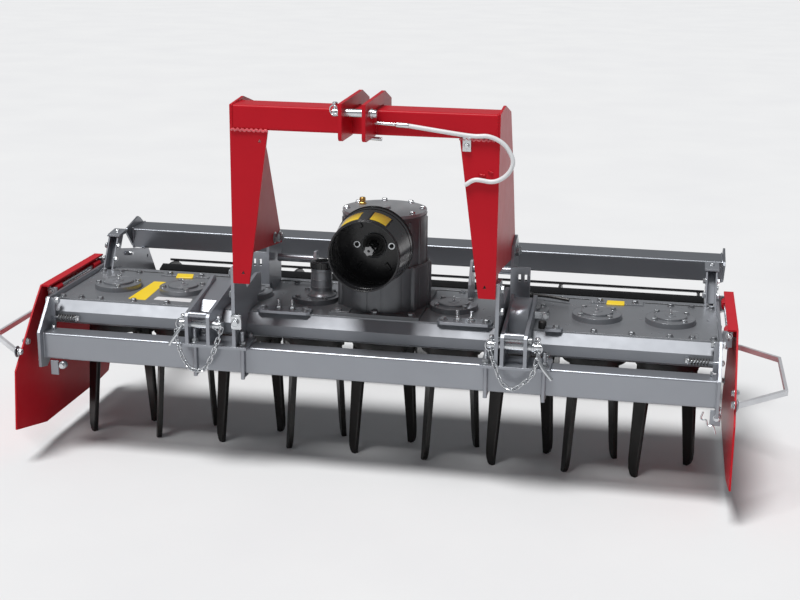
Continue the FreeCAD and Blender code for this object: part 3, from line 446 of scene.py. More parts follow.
# The roller beam and its end plates take a darker copy of the silver paint: painted shade for the beam's
# front, which lies in the machine's shadow.
BEAM_SHADE_PAINT = surface("roller_beam_painted_shade", (0.19, 0.2, 0.22), metal=0.62, rough=0.29, spread=0.015,
                     mottle=0.02, grain=(200, 0.005), worn=0.2)
DULL_METAL = surface("dull_seal_metal", (0.13, 0.13, 0.13), metal=0.6, grain=(300, 0.05))
LID_PAINT = surface("gearbox_lid_paint", (0.35, 0.36, 0.375), metal=0.5, rough=0.42, mottle=0.12,
                    grain=(240, 0.25), dust=0.15)
# Black rubber for the seal; also laid as painted shadow in the gap along the cover's rear edge.
RUBBER_AND_GAP_SHADE = surface("seal_rubber_and_gap_shade", (0.014, 0.014, 0.014), rough=0.6, mottle=0.2, grain=(300, 0.1))
BOLT_PAINT_DARK = surface("black_bolt_heads", (0.035, 0.034, 0.033), metal=0.4, rough=0.38, mottle=0.25,
                          grain=(300, 0.15), worn=0.4)

# Nodes whose finish differs from the one of their slot; the roller beam's darker grey is painted shade.
NODE_FINISHES = {"gearbox_lid": LID_PAINT, "gear_trough": TROUGH_SIDES, "roller_beam": BEAM_SHADE_PAINT,
                 "beam_ends": BEAM_SHADE_PAINT, "guard_rail_left": RAIL_METAL, "guard_rail_right": RAIL_METAL}


# --- trough and caps
TOP = high("trough_cover").z
DOME_TOP = high("bearing_caps").z
CAP_TOP = DOME_TOP - 0.007
FRONT_ROW, REAR_ROW = -0.168, 0.205
COVERED = (-0.625, -0.375, -0.25, -0.125, 0.0, 0.125, 0.25, 0.375, 0.5)
TAB_FROM, TAB_TO, TAB_THICK = 0.716, 0.903, 0.004
STRIP_END = 1.114
CAP_BOLT_RING = 0.071
CAP_TURNS = {1: 20, 2: 28, 3: 35, 6: 41, 7: 30, 8: 41, 9: 41}


def cover_bolts():
    """Bolts half a rotor pitch apart along both edges of the cover, and the rear tabs."""
    bolts, tabs = Shape(), Shape()
    for x in [PITCH / 2 * k for k in range(-8, 9)] + [-1.142, -1.072, 1.072, 1.142]:
        if x not in COVERED:
            bolts.bolt(spot(x, FRONT_ROW, TOP, turn=400 * x), 0.0105, 0.0075, 1.25)
        level = TOP + (TAB_THICK if TAB_FROM < abs(x) < TAB_TO else 0)
        bolts.bolt(spot(x, REAR_ROW, level, turn=400 * x), 0.0105, 0.0075, 1.25)
    piece("cover_bolts", bolts, "trough_paint", BOLT_PAINT)
    for side in SIDES:
        place = spot(side * (TAB_FROM + TAB_TO) / 2, 0.203, TOP)
        tabs.prism(place, oblong(-0.094, -0.022, 0.094, 0.025), TAB_THICK)
    piece("cover_tabs", tabs, "trough_paint")


def rear_flange():
    """The folded strip behind the cover, and a thin black strip of painted shadow along the cover's rear
    edge, cut away round the bolted tabs.
    """
    strip, gap = Shape(), Shape()
    ends = (-1.112, -TAB_TO - 0.006, -TAB_FROM + 0.006, TAB_FROM - 0.006, TAB_TO + 0.006, 1.112)
    for x_from, x_to in zip(ends[::2], ends[1::2]):
        half = (x_to - x_from) / 2
        place = spot((x_from + x_to) / 2, 0.2245, TOP)
        gap.prism(place, oblong(-half, -0.0035, half, 0.0035), 0.0006, 0.0002)
    for y, half_wide, drop, thick in ((0.243, 0.015, 0.004, 0.006), (0.256, 0.002, 0.022, 0.022)):
        outline = oblong(-STRIP_END, -half_wide, STRIP_END, half_wide)
        strip.prism(spot(0, y, TOP - drop), outline, thick)
    piece("rear_flange_strip", strip, "trough_paint")
    # A thin black sheet standing in for the shadow in that gap.
    piece("rear_flange_gap_shade", gap, "trough_paint", RUBBER_AND_GAP_SHADE)


def cap_bolts(shape, x, start, turn, radius, tall):
    """Four bolts round a bearing cap."""
    for place in circle(at(x, 0, CAP_TOP), UP, CAP_BOLT_RING, start, count=4):
        shape.bolt(facing(place, turn=turn), radius, tall, 1.2)


def bearing_details():
    """Four bolts, a turned rim and a grease nipple on every bearing cap."""
    bolts, rims, nipples = Shape(), Shape(), Shape()
    for number, turn in CAP_TURNS.items():
        x = (number - 5) * PITCH
        cap_bolts(bolts, x, turn, turn, 0.01, 0.0075)
        rims.hoop(at(x, 0, CAP_TOP - 0.0004), UP, 0.0835, 0.0012, 48, 6)
        rims.hoop(at(x, 0, DOME_TOP - 0.0004), UP, 0.0525, 0.0014, 48, 6)
        button = mm((20, 0), (19, 2.5), (12, 3.5), (2, 3.5))
        rims.lathe(spot(x, 0, DOME_TOP - 0.001), button)
        nipples.nipple(spot(x, 0, DOME_TOP + 0.002, turn=turn))
    piece("cap_bolts", bolts, "trough_paint", SILVER_BOLT)
    piece("cap_rims", rims, "trough_paint")
    piece("cap_nipples", nipples, "zinc_steel")


def cover_labels():
    """Blank stickers where the maker's warning and type labels sit."""
    yellow, white = Shape(), Shape()
    yellow.label(mm((-906, -145), (-900, 100), (-853, 100), (-838, -150)), TOP)
    yellow.label(mm((-837, 160), (-772, 166), (-786, 222), (-851, 216)), TOP, 0.0046)
    yellow.label(mm((774, 168), (838, 170), (838, 218), (774, 216)), TOP, 0.0046)
    white.label(mm((-814, -136), (-812, -96), (-680, -96), (-673, -140)), TOP)
    piece("cover_labels_yellow", yellow, "trough_paint", YELLOW)
    piece("cover_label_white", white, "trough_paint", WHITE)


# --- gearbox and input
AXIS_Z = middle("pto_shaft").z
SHIELD_FRONT = low("pto_shield").y
SHIELD_BACK = high("pto_shield").y
SHIELD_BASE = high("pto_shield").x
SHIELD_NOSE = 0.119
SHIELD_WALL = 0.004
FILLER = middle("filler_cap")
LID_TOP = high("gearbox_lid").z - 0.008
BOX_RADIUS = high("gearbox_lid").x


def on_box(turn, radius, level):
    """A place on the round gearbox, its turn counted from the front towards +X."""
    a = radians(turn)
    return at(radius * sin(a), -radius * cos(a), level)


def curved_pad(shape, start, end, radius, bottom, top, thick=0.003):
    """A raised panel on the gearbox's round side, with eased edges."""
    rows = []
    steps = max(4, round((end - start) / 4))
    for k in range(steps + 1):
        turn = start + (end - start) * k / steps
        rise = thick if 0 < k < steps else thick * 0.4
        section = ((-0.002, bottom), (rise, bottom), (rise, top - 0.002), (rise - 0.0015, top),
                   (-0.002, top))
        rows.append([on_box(turn, radius + out, level) for out, level in section])
    shape.rings(rows)


def gearbox_details():
    """Bolts, cast panels and columns, and the breather on the lid."""
    foot = TOP + 0.012
    ledge = TOP + 0.166
    bolts, lid_bolts, cast, breather = (Shape() for _ in range(4))
    for y, row in ((-0.166, (-0.128, 0, 0.128)), (0.166, (-0.128, 0.128, 0))):
        for x in row:
            bolts.bolt(spot(x, y, foot, turn=20 + 300 * x), 0.0125, 0.009)
    piece("gearbox_bolts", bolts, "gearbox_paint", BOLT_PAINT)
    for place in circle(at(0, 0, LID_TOP), UP, 0.132, 12, count=8):
        lid_bolts.bolt(facing(place), *SMALL_HEAD)
    piece("lid_bolts", lid_bolts, "gearbox_paint", FINISHES["zinc_steel"])

    # Cast panels with gaps between them, round columns that take the lid's bolts, and a step.
    skirt = BOX_RADIUS + 0.01
    for start, end in ((-37, -11), (-10, 7), (9, 34), (62, 86), (95, 140), (150, 210), (220, 262),
                       (274, 296)):
        curved_pad(cast, start, end, skirt, foot - 0.002, ledge - 0.004)
    for turn in (-62, 51, 91, 145, 215, 268):
        column = facing(on_box(turn, skirt - 0.001, foot - 0.002))
        cast.lathe(column, mm((12, 0), (12, 148), (10, 156), (4, 158)), 20)
    for turn in (-70, 48, 68, 100, 150, 210, 255):
        column = facing(on_box(turn, BOX_RADIUS - 0.006, ledge - 0.001))
        cast.lathe(column, mm((12, 0), (10, 12), (9, 150), (9, 156)), 20)
    cast.hoop(at(0, 0, ledge - 0.002), UP, skirt - 0.0005, 0.0032, 72)
    cast.hoop(at(0, 0, LID_TOP - 0.012), UP, BOX_RADIUS, 0.0018, 64)
    cast.prism(spot(-0.122, -0.155, foot), oblong(-0.03, -0.026, 0.036, 0.03), 0.0035)
    piece("gearbox_casting_details", cast, "gearbox_paint")

    place = spot(-0.091, 0.049, LID_TOP)
    breather.hexagon(place, 0.013, 0.008)
    breather.lathe(place, mm((8, 8), (8, 11), (11, 12), (11, 22), (9, 25), (2, 26)), 20)
    piece("breather_plug", breather, "gearbox_paint", BRASS)


def filler_details():
    """The filler's neck and cap, and the bolts of the bearing cap it stands on."""
    cast, bolts, cap = Shape(), Shape(), Shape()
    x, y = FILLER.x, FILLER.y
    cap_bolts(bolts, -PITCH, 40, 30, 0.0095, 0.0068)
    piece("filler_bolts", bolts, "trough_paint", BOLT_PAINT)
    cast.lathe(spot(x, y, CAP_TOP - 0.001), mm((52, 0), (51, 6), (42, 12), (37.2, 22)), 36)
    for k in range(3):
        cast.hoop(at(x, y, CAP_TOP + 0.035 + 0.028 * k), UP, 0.0372, 0.0016, 40, 6)
    piece("filler_neck", cast, "trough_paint")
    top = high("filler_cap").z
    cap.lathe(spot(x, y, top - 0.0005), mm((34, 0), (33, 2.5), (26, 3), (25, 1.5), (2, 1.5)), 36)
    cap.block(spot(x, y, top, turn=25), (0.044, 0.009, 0.01), 0.003)
    for place in circle(at(x, y, top - 0.019), UP, 0.0395, count=28):
        cap.lathe(facing(place), mm((0.8, 0), (1.8, 2), (1.8, 14), (0.8, 16)), 8)
    piece("filler_cap_grip", cap, "black_plastic")


def shield_radius(y):
    """The conical shield's outer radius at a distance from the rotor row."""
    growth = (SHIELD_BASE - SHIELD_NOSE) * (y - SHIELD_FRONT)
    return SHIELD_NOSE + growth / (SHIELD_BACK - SHIELD_FRONT)


def curved_label(shape, start, end, front, back, raised):
    """A thin sticker on the shield's outside, from one turn to another about its axis."""
    rows = []
    steps = 14
    centre = at(0, 0, AXIS_Z)
    section = ((-0.0005, front), (raised, front), (raised, back), (-0.0005, back))
    for k in range(steps + 1):
        a = radians(start + (end - start) * k / steps)
        out = Vector((sin(a), 0, cos(a)))
        rows.append([centre + out * (shield_radius(y) + rise) + Vector((0, y, 0)) for rise, y in section])
    shape.rings(rows)


def shield_details():
    """Lip, ribs, labels and the bolts that hold the shield to the input boss."""
    ribs, labels, bolts, seal, lip, frames = (Shape() for _ in range(6))
    inner = SHIELD_BACK - SHIELD_WALL
    rings = ((SHIELD_FRONT + 0.003, -0.002, 0.0032), (SHIELD_FRONT + 0.012, 0, 0.0012),
             (SHIELD_BACK - 0.036, 0, 0.0014), (SHIELD_BACK - 0.012, 0, 0.0016),
             (SHIELD_BACK - 0.004, -0.001, 0.003))
    for y, rise, wire in rings:
        ribs.hoop(at(0, y, AXIS_Z), (0, 1, 0), shield_radius(y) + rise, wire, 72)
    for y in (inner - 0.001, inner - 0.036, SHIELD_FRONT + 0.04):
        ribs.hoop(at(0, y, AXIS_Z), (0, 1, 0), shield_radius(y) - SHIELD_WALL, 0.0015, 72)
    for turn in (35, 145, 215, 325):
        a = radians(turn)
        tab = spot(0.088 * sin(a), inner, AXIS_Z + 0.088 * cos(a), FORWARD, -turn)
        ribs.block(tab, (0.01, 0.03, 0.006), 0.002)
    piece("shield_lip_and_ribs", ribs, "black_plastic")
    front = SHIELD_FRONT + 0.028
    curved_label(labels, -41, -11, front, front + 0.078, 0.0008)
    curved_label(frames, 4, 37, front - 0.004, front + 0.082, 0.0006)
    curved_label(labels, 7, 34, front, front + 0.078, 0.0012)
    piece("shield_labels", labels, "black_plastic", YELLOW)
    piece("shield_label_frame", frames, "black_plastic", RUBBER_AND_GAP_SHADE)
    cup = mm((10, -1), (12.5, 0), (12.5, 2), (11.5, 3), (7.5, 3), (7.5, 1.5), (4, 1.5))
    socket = mm((7.5, 1), (7.5, 7), (6.5, 8), (3.5, 8), (3, 5), (1, 5))
    for x in (-0.06, 0.06):
        place = spot(x, inner, AXIS_Z, FORWARD, 15)
        bolts.lathe(place, cup)
        seal.lathe(place, socket, 6)
    piece("shield_bolts", bolts, "zinc_steel")
    rings = mm((24.5, 0), (41.5, 0), (41.5, 3), (36, 3.5), (30, 3), (24.5, 6), (20, 7), (18, 8), (18, 5))
    seal.lathe(spot(0, inner + 0.003, AXIS_Z, FORWARD), rings, 48)
    piece("input_seal", seal, "black_plastic", RUBBER_AND_GAP_SHADE)
    lip.hoop(at(0, inner - 0.001, AXIS_Z), (0, 1, 0), 0.0395, 0.0024, 64)
    piece("input_seal_lip", lip, "black_plastic", DULL_METAL)


def drive_shaft():
    """The input shaft with its six-splined end, ring groove and centre hole."""
    shape = Shape()
    tip = low("pto_shaft").y
    outer, inner, journal = 0.01745, 0.0148, 0.024
    keys, steps = 6, 8
    splined_to = -0.1735

    def row(y, key_radius, gap_radius):
        points = []
        for k in range(keys * steps):
            radius = key_radius if k % steps < steps / 2 else gap_radius
            a = tau * k / (keys * steps)
            points.append(at(radius * cos(a), y, AXIS_Z + radius * sin(a)))
        return points
    groove = tip + 0.024
    profile = ((tip + 0.008, 0.001, 0.001), (tip, 0.0045, 0.0045), (tip, outer - 0.0006, inner - 0.0003),
               (tip + 0.0008, outer, inner), (groove, outer, inner),
               (groove + 0.001, inner, inner - 0.0006), (groove + 0.007, inner, inner - 0.0006),
               (groove + 0.008, outer, inner), (splined_to - 0.004, outer, inner),
               (splined_to, outer, outer), (splined_to, journal - 0.001, journal - 0.001),
               (splined_to + 0.001, journal, journal), (-0.108, journal, journal), (-0.108, 0.03, 0.03),
               (-0.07, 0.042, 0.036))
    shape.rings([row(*station) for station in profile])
    item = piece("splined_drive_shaft", shape, "shaft_steel", body="pto")
    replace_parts(item, "pto_shaft")


# --- headstock
MAST_X = high("mast_right").x
MAST_FRONT = low("mast_right").y
TOP_PIN = middle("top_link_pin")
CROSS_LOW, CROSS_TOP = low("mast_crossbar").z, high("mast_crossbar").z
PAD_TOP = TOP + 0.01
MAST_IN, STAY_OUT = MAST_X - 0.008, MAST_X + 0.012
STAY_BOLT_Y, PAD_BOLT_Y = -0.326, -0.175


def headstock_hardware():
    """Bolts that hold the masts to their feet, and the studs of the clamping pads."""
    bolts, studs = Shape(), Shape()
    for side in SIDES:
        for z in (0.715, 0.64):
            bolts.bolt(facing_out(side, STAY_OUT, STAY_BOLT_Y, z, 20), 0.0135, 0.01)
        bolts.bolt(facing_in(side, MAST_IN, STAY_BOLT_Y, 0.715, 5), 0.0135, 0.012)
        for y, z in ((0.17, 0.729), (0.108, 0.738)):
            bolts.bolt(facing_out(side, MAST_X + 0.01, y, z, 35), 0.0165, 0.012)
            bolts.bolt(facing_in(side, MAST_IN, y, z, 10), 0.0165, 0.014)
        for x in (0.243, 0.39):
            bolts.bolt(spot(side * x, PAD_BOLT_Y, PAD_TOP, turn=15 + 90 * x), 0.0115, 0.008)
        for x in (0.29, 0.338):
            studs.stud(spot(side * x, PAD_BOLT_Y, PAD_TOP, turn=50 * x), 0.0115, 0.01, 0.022)
    piece("headstock_bolts", bolts, "silver_paint", SILVER_BOLT)
    piece("pad_studs", studs, "zinc_steel")


def ring_pin(shape, place, across, drop, wire=0.0022):
    """A linchpin: a short pin with a head, and the spring ring that hangs from it."""
    pin = [(0.004, -drop), (0.005, 0.004 - drop)] + mm((5, 10), (8.5, 11), (8.5, 18), (6, 20))
    shape.lathe(facing(place), pin, 14)
    centre = Vector(place) + Vector((0, -0.016, 0.012 - drop / 2 - 0.006))
    shape.hoop(centre, across, drop / 2 + 0.006, wire)


def top_link_hardware():
    """The top-link pin's linchpin, collar and stay wire, and the bolts of its clevis."""
    pins, bolts = Shape(), Shape()
    x_low, x_high = low("top_link_pin").x, high("top_link_pin").x
    y, z = TOP_PIN.y, TOP_PIN.z
    radius = high("top_link_pin").z - z
    ring_pin(pins, at(x_low + 0.008, y, z + radius), (0.5, 1, 0.1), 0.02)
    foot, crown = radius + 0.0004, radius + 0.0032
    collar = [(foot, 0), (crown, 0.002), (crown, 0.007), (foot, 0.009)]
    pins.lathe(spot(x_high - 0.018, y, z, RIGHT), collar)
    rod_end = [(radius, -0.001), (radius, 0.001), (radius - 0.003, 0.004)]
    pins.lathe(spot(x_high, y, z, RIGHT), rod_end)
    under = low("top_link_plates").z
    pins.sweep([at(0.022, -0.372, under - 0.007), at(0.066, -0.374, under - 0.009)], 0.006, 12)
    piece("top_link_pin_fittings", pins, "zinc_steel")
    for side in SIDES:
        bolts.bolt(facing_out(side, 0.0435, -0.405, 1.262, 12), 0.012, 0.009)
    piece("clevis_bolts", bolts, "red_paint")


def hook_details():
    """The sleeved drive shaft hook with its crimped end and the clip that steadies it."""
    hook, zinc = Shape(), Shape()
    hook_y = middle("shaft_hook").y
    bend = mm((150, 1240), (340, 1217), (403, 1217), (447, 1199), (472, 1170), (483, 1139), (473, 1108),
              (449, 1085), (418, 1074), (366, 1078), (334, 1060))
    line = even_line(smooth_line([at(x, hook_y, z) for x, z in bend], 8), 0.006)
    hook.sweep(line, 0.0072, 14)
    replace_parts(piece("sleeved_shaft_hook", hook, "hook_sleeve"), "shaft_hook")
    zinc.sweep([at(0.036, hook_y - 0.002, 1.246), at(0.057, hook_y, 1.2445), at(0.152, hook_y, 1.24)],
               0.0055, 12)
    zinc.lathe(spot(0.112, hook_y, 1.2419, (93, 0, -4)),
               mm((3, -4), (7.5, -2), (8.4, 2), (8.4, 36), (7.5, 40)), 20)
    clip = spot(0.336, hook_y + 0.007, 1.192, FORWARD)
    zinc.prism(clip, mm((-13.5, -26), (13.5, -26), (13.5, 18), (9, 23.5), (-9, 23.5), (-13.5, 18)), 0.0055)
    zinc.bolt(clip @ Matrix.Translation((0, -0.009, 0.0055)), 0.0075, 0.0055)
    piece("hook_fittings", zinc, "zinc_steel")


# --- lower hitch
LINK = middle("lower_link_pins")
LINK_Y, LINK_Z = LINK.y, LINK.z
PIN_RADIUS = high("lower_link_pins").z - LINK_Z
BASE_TOP = high("hitch_bases").z
U_BOLTS = (-0.596, 0.014 - MAST_X, MAST_X - 0.03, 0.602)
CHAIN_Y = -0.357
# The x of a link pin's outer and inner end, then x and z of its pull handle's grip and tip.
LINK_PINS = ((-0.644, -0.498, (-0.653, 0.49), (-0.675, 0.455)),
             (0.589, 0.417, (0.594, 0.474), (0.632, 0.429)))
# How far behind CHAIN_Y a chain starts, then x and z of the points it hangs through.
CHAINS = ((0.015, mm((-656, 505), (-643, 459), (-626, 410), (-600, 374),
                     (-554, 374), (-524, 426), (-501, 485), (-490, 525))),
          (0.012, mm((424, 508), (442, 469), (469, 405), (505, 386),
                     (536, 408), (564, 434), (577, 475), (582, 512))))


def chain(shape, line, pitch=0.0195, wire=0.0024, half_wide=0.0068, half_long=0.0132):
    """Oval links along a line, each turned a quarter from the last."""
    points = even_line(smooth_line(line, 10), pitch)
    for k, (a, b) in enumerate(zip(points, points[1:])):
        place = facing((a + b) / 2, b - a, 90 * (k % 2) + 22)
        straight = half_long - half_wide
        link = []
        for step in range(14):
            turn = tau * step / 14
            z = half_wide * sin(turn)
            link.append(place @ Vector((half_wide * cos(turn), 0, z + copysign(straight, z if z else 1))))
        shape.sweep(link, wire, 6, closed=True)


def hitch_hardware():
    """Nuts of the U-bolts, the fittings of the lower link pins, their chains and the clamp."""
    nuts, zinc, links, clamp = (Shape() for _ in range(4))
    for x in U_BOLTS:
        for y, rise in ((-0.3215, 0.052), (-0.2305, 0.02)):
            place = spot(x, y, BASE_TOP, turn=x * 200)
            nuts.washer(place, 0.0155, 0.003)
            nuts.hexagon(lift(place, 0.003), 0.0125, 0.011)
            nuts.thread(lift(place, 0.014), 0.0074, rise - 0.016)
    piece("u_bolt_nuts", nuts, "silver_paint", SILVER_BOLT)

    # Link pins: collars at the plates, a linchpin at each end and a short pull handle.
    crown = PIN_RADIUS + 0.003
    rod_end = [(PIN_RADIUS, -0.001), (PIN_RADIUS, 0.001), (PIN_RADIUS - 0.003, 0.005)]
    collar = [(PIN_RADIUS, 0), (crown, 0.001), (crown, 0.008), (PIN_RADIUS, 0.009)]
    for outer, inner, grip, tip in LINK_PINS:
        away = 1 if outer > inner else -1
        for x, way in ((outer, away), (inner, -away)):
            axis = (way, 0, 0)
            zinc.lathe(spot(x, LINK_Y, LINK_Z, axis), rod_end)
            zinc.lathe(spot(x - way * 0.03, LINK_Y, LINK_Z, axis), collar)
            ring_pin(zinc, at(x - way * 0.01, LINK_Y, LINK_Z + PIN_RADIUS), (0.7 * way, 1, 0), 0.03)
        neck = at(outer - away * 0.008, LINK_Y - 0.012, LINK_Z - 0.006)
        handle = [neck, at(grip[0], CHAIN_Y + 0.004, grip[1]), at(tip[0], CHAIN_Y - 0.004, tip[1])]
        zinc.sweep(smooth_line(handle), 0.0062, 12)
    piece("link_pin_fittings", zinc, "zinc_steel")
    for behind, path in CHAINS:
        back = [behind] + [0] * (len(path) - 2) + [0.01]
        chain(links, [at(x, CHAIN_Y + y, z) for y, (x, z) in zip(back, path)])
    piece("pin_chains", links, "zinc_steel")

    place = spot(0.006 - MAST_X, -0.353, 0.552, FORWARD)
    clamp.block(place, (0.036, 0.05, 0.012), 0.003)
    clamp.bolt(lift(place, 0.012), 0.012, 0.01, 1.2)
    piece("stay_clamp_block", clamp, "zinc_steel")


def hitch_extras():
    """The small foot plate, bushing, bracket and lever beside the right hitch bracket."""
    silver, dark, zinc = Shape(), Shape(), Shape()
    rounded = mm((-30, -20), (12, -20), (24, -14), (30, 0), (24, 14), (12, 20), (-30, 20))
    silver.prism(spot(0.619, -0.185, TOP), rounded, 0.01)
    zinc.bolt(spot(0.626, -0.185, TOP + 0.01, turn=12), 0.0105, 0.008)
    dark.lathe(spot(0.578, -0.167, TOP), mm((14, 0), (14, 22), (11, 26), (6, 26)), 24)
    lever = [at(0.503, 0.184, TOP + 0.016), at(0.57, 0.168, TOP + 0.018), at(0.643, 0.148, TOP + 0.015)]
    dark.sweep(smooth_line(lever), 0.006, 10)
    dark.lathe(spot(0.503, 0.184, TOP), mm((12, 0), (12, 20), (8, 24), (3, 24)), 20)
    lean = (0.3, -1, 0)
    zinc.prism(spot(0.577, -0.206, 0.6, lean), mm((-24, -12), (24, -8), (24, 10), (-24, 14)), 0.005)
    zinc.bolt(spot(0.588, -0.214, 0.602, lean, 20), 0.0105, 0.009)
    zinc.bolt(spot(0.615, 0.221, TOP, turn=25), 0.0105, 0.008)
    zinc.sweep([at(0.452, -0.335, 0.5485), at(0.556, -0.335, 0.55)], 0.0075, 14)
    for x, way in ((0.452, -1), (0.556, 1)):
        zinc.lathe(spot(x, -0.335, 0.549, (way, 0, 0)), mm((11.5, -3), (11.5, 4), (9, 6), (3, 6)), 20)
    saddle = mm((-236, 540), (-226, 584), (-212, 612), (-190, 626), (-110, 630), (-80, 624), (-60, 606),
                (-60, 596), (-200, 570), (-226, 536))
    half, ease = 0.0315, 0.003
    ends = ((-half, ease), (ease - half, 0), (half - ease, 0), (half, ease))
    silver.rings([[at(0.503 + x, y, z - inset) for y, z in saddle] for x, inset in ends])
    piece("hitch_foot_plate", silver, "silver_paint")
    piece("hitch_bushing_and_lever", dark, "rotor_iron", BOLT_PAINT_DARK)
    piece("hitch_bracket_bolts", zinc, "zinc_steel", SILVER_BOLT)


# --- bar ends and sides
END_IN = low("end_plate_right").x
END_OUT = high("end_plate_right").x
PLATE_IN = END_OUT - 0.01
SPRING_Y, SPRING_Z = -0.2375, 0.487
END_BOLT_Y, END_BOLT_Z = -0.226, 0.546
HINGE_Z = middle("side_hinge_rods").z
HINGE_X = high("side_hinge_rods").x - 0.008
SIDE_X = high("side_plate_right").x
SIDE_IN = SIDE_X - 0.006
GUARD_Z = middle("guard_rail_right").z


def end_fittings():
    """Return springs, bolts and the small brackets at both ends of the bar."""
    zinc, springs, plates = Shape(), Shape(), Shape()
    turns, pitch, coil_radius, steps = 6.5, 0.0098, 0.0115, 14
    for side in SIDES:
        coil = []
        for k in range(int(turns * steps) + 1):
            a = tau * k / steps
            x = side * (END_IN - 0.012 - pitch * k / steps)
            coil.append(at(x, SPRING_Y + coil_radius * cos(a), SPRING_Z + coil_radius * sin(a)))
        springs.sweep(coil, 0.0021)
        rod = mm((4.5, 0), (5, 2), (5, 122), (3, 124))
        zinc.lathe(facing_in(side, END_OUT + 0.012, SPRING_Y, SPRING_Z), rod, 12)
        zinc.bolt(facing_in(side, END_IN - 0.08, SPRING_Y, SPRING_Z), *SMALL_NUT)
        zinc.bolt(facing_out(side, END_OUT, SPRING_Y, SPRING_Z), *SMALL_NUT)
        zinc.bolt(facing_in(side, END_IN, END_BOLT_Y, END_BOLT_Z, 8), 0.012, 0.009)
        zinc.bolt(facing_out(side, END_OUT, END_BOLT_Y, END_BOLT_Z, 8), 0.012, 0.01)
        zinc.bolt(facing_in(side, END_IN, -0.262, 0.457, 20), 0.008, 0.006)
        for y, z in ((-0.312, 0.352), (-0.06, 0.5), (0.12, 0.5)):
            zinc.bolt(facing_out(side, END_OUT, y, z, 25), 0.0115, 0.008)
    boss = mm((14, 0), (14, 13), (13, 14), (4, 14))
    for x_from, x_to, bolt_x, bolt_z in ((-1.136, -1.108, -1.092, 0.335), (1.142, 1.176, 1.164, 0.326)):
        half = (x_to - x_from) / 2
        place = spot((x_from + x_to) / 2, -0.308, 0.326, FORWARD)
        plates.prism(place, oblong(-half, -0.028, half, 0.024), 0.006)
        plates.lathe(spot(bolt_x, -0.3, bolt_z, FORWARD), boss, 20)
        zinc.bolt(spot(bolt_x, -0.314, bolt_z, FORWARD, 10), 0.0105, 0.009, 1.2)
    clip = mm((1120, 345), (1114, 324), (1119, 318), (1131, 317), (1137, 299), (1154, 298), (1163, 272))
    zinc.sweep(smooth_line([at(x, -0.318, z) for x, z in clip], 5), 0.0028)
    piece("end_fastenings", zinc, "zinc_steel")
    piece("return_springs", springs, "zinc_steel", DULL_METAL)
    piece("bar_end_brackets", plates, "silver_paint")


def hinge_fittings():
    """Washers and split pins on the side plates' hinge rods."""
    zinc = Shape()
    ends = ((low("side_hinge_rods").y, -1), (high("side_hinge_rods").y, 1))
    for side in SIDES:
        x = side * HINGE_X
        for y, way in ends:
            axis = (0, way, 0)
            zinc.washer(spot(x, y - way * 0.003, HINGE_Z, axis), 0.0125, 0.002)
            zinc.lathe(spot(x, y, HINGE_Z, axis), mm((8, -1), (8, 3), (6, 5)), 20)
            pin = at(x, y + way * 0.0005, HINGE_Z)
            zinc.sweep([pin + Vector((0, 0, 0.014)), pin - Vector((0, 0, 0.017))], 0.0018)
            zinc.hoop(pin + Vector((0, 0, 0.018)), RIGHT, 0.0038, 0.0014, 16, 6)
    piece("hinge_split_pins", zinc, "zinc_steel")


def side_plate_details(side, name):
    """The guard rail's feet with their bolts and the hinge welds, on one side plate."""
    bolts, feet = Shape(), Shape()
    rail = f"guard_rail_{name}"
    foot = mm((20, 0), (20, 2), (17, 3.5), (4, 3.5))
    for y in (low(rail).y + 0.01, high(rail).y - 0.01):
        feet.lathe(facing_out(side, SIDE_X, y, GUARD_Z), foot)
        bolts.bolt(facing_in(side, SIDE_IN, y, GUARD_Z, 12), 0.0115, 0.009)
        feet.weld(circle(at(side * (SIDE_X + 0.0035), y, GUARD_Z), RIGHT, 0.0125, 0, 340, 24), 0.0024)
    for y, z in ((-0.33, 0.42), (0.3, 0.25)):
        bolts.bolt(facing_out(side, SIDE_X, y, z, 30), *SMALL_HEAD)
        bolts.bolt(facing_in(side, SIDE_IN, y, z, 30), *SMALL_NUT)
    x_in, x_out, level = side * (HINGE_X + 0.012), side * (SIDE_X - 0.007), HINGE_Z - 0.009
    for y in (-0.149, -0.091, 0.196, 0.254):
        feet.seam((x_in, y, level), (x_out, y, level), radius=0.0022)
    piece(f"guard_bolts_{name}", bolts, "zinc_steel", body=f"side_{name}")
    piece(f"guard_feet_{name}", feet, "silver_paint", body=f"side_{name}")


# --- rotors
TINE_REACH, TINE_GRIP, HALF_TINE, LUG = 0.092, 19.3, 0.009, 0.022
ROTOR_TURN, ROTOR_PHASE = 42, 6
LUG_LEVEL = low("rotor_6_hub").z + 0.027


def rotor_details(number):
    """Tine bolts and the castellated nut under one rotor."""
    hand = 1 if number % 2 else -1
    name = f"rotor_{number}"
    centre = Vector(((number - 5) * PITCH, ROW, 0))
    grip = radians(90 + hand * TINE_GRIP)
    along = Vector((cos(grip), sin(grip), 0))
    inward = Vector((-sin(grip), cos(grip), 0))
    bolts = Shape()
    for half_turn in (0, 180):
        turn = Matrix.Rotation(radians(ROTOR_TURN - hand * ROTOR_PHASE + half_turn), 3, "Z")
        for shift in (-0.017, 0.017):
            root = Vector((TINE_REACH, 0, LUG_LEVEL)) + along * shift
            head = centre + turn @ (root - inward * HALF_TINE)
            nut = centre + turn @ (root + inward * (HALF_TINE + LUG))
            bolts.bolt(facing(head, turn @ -inward, 10), 0.0125, 0.009)
            bolts.stud(facing(nut, turn @ inward, 25), 0.0125, 0.011, 0.008)
    under = facing(centre + Vector((0, 0, low(f"{name}_hub").z + 0.055)), DOWN, 10)
    bolts.bolt(under, 0.034, 0.022, 1.25)
    for place in circle(under.translation, DOWN, 0.062, count=6):
        bolts.bolt(facing(place, DOWN), *SMALL_HEAD)
    piece(f"{name}_bolts", bolts, "rotor_iron", BOLT_PAINT_DARK, body=name)


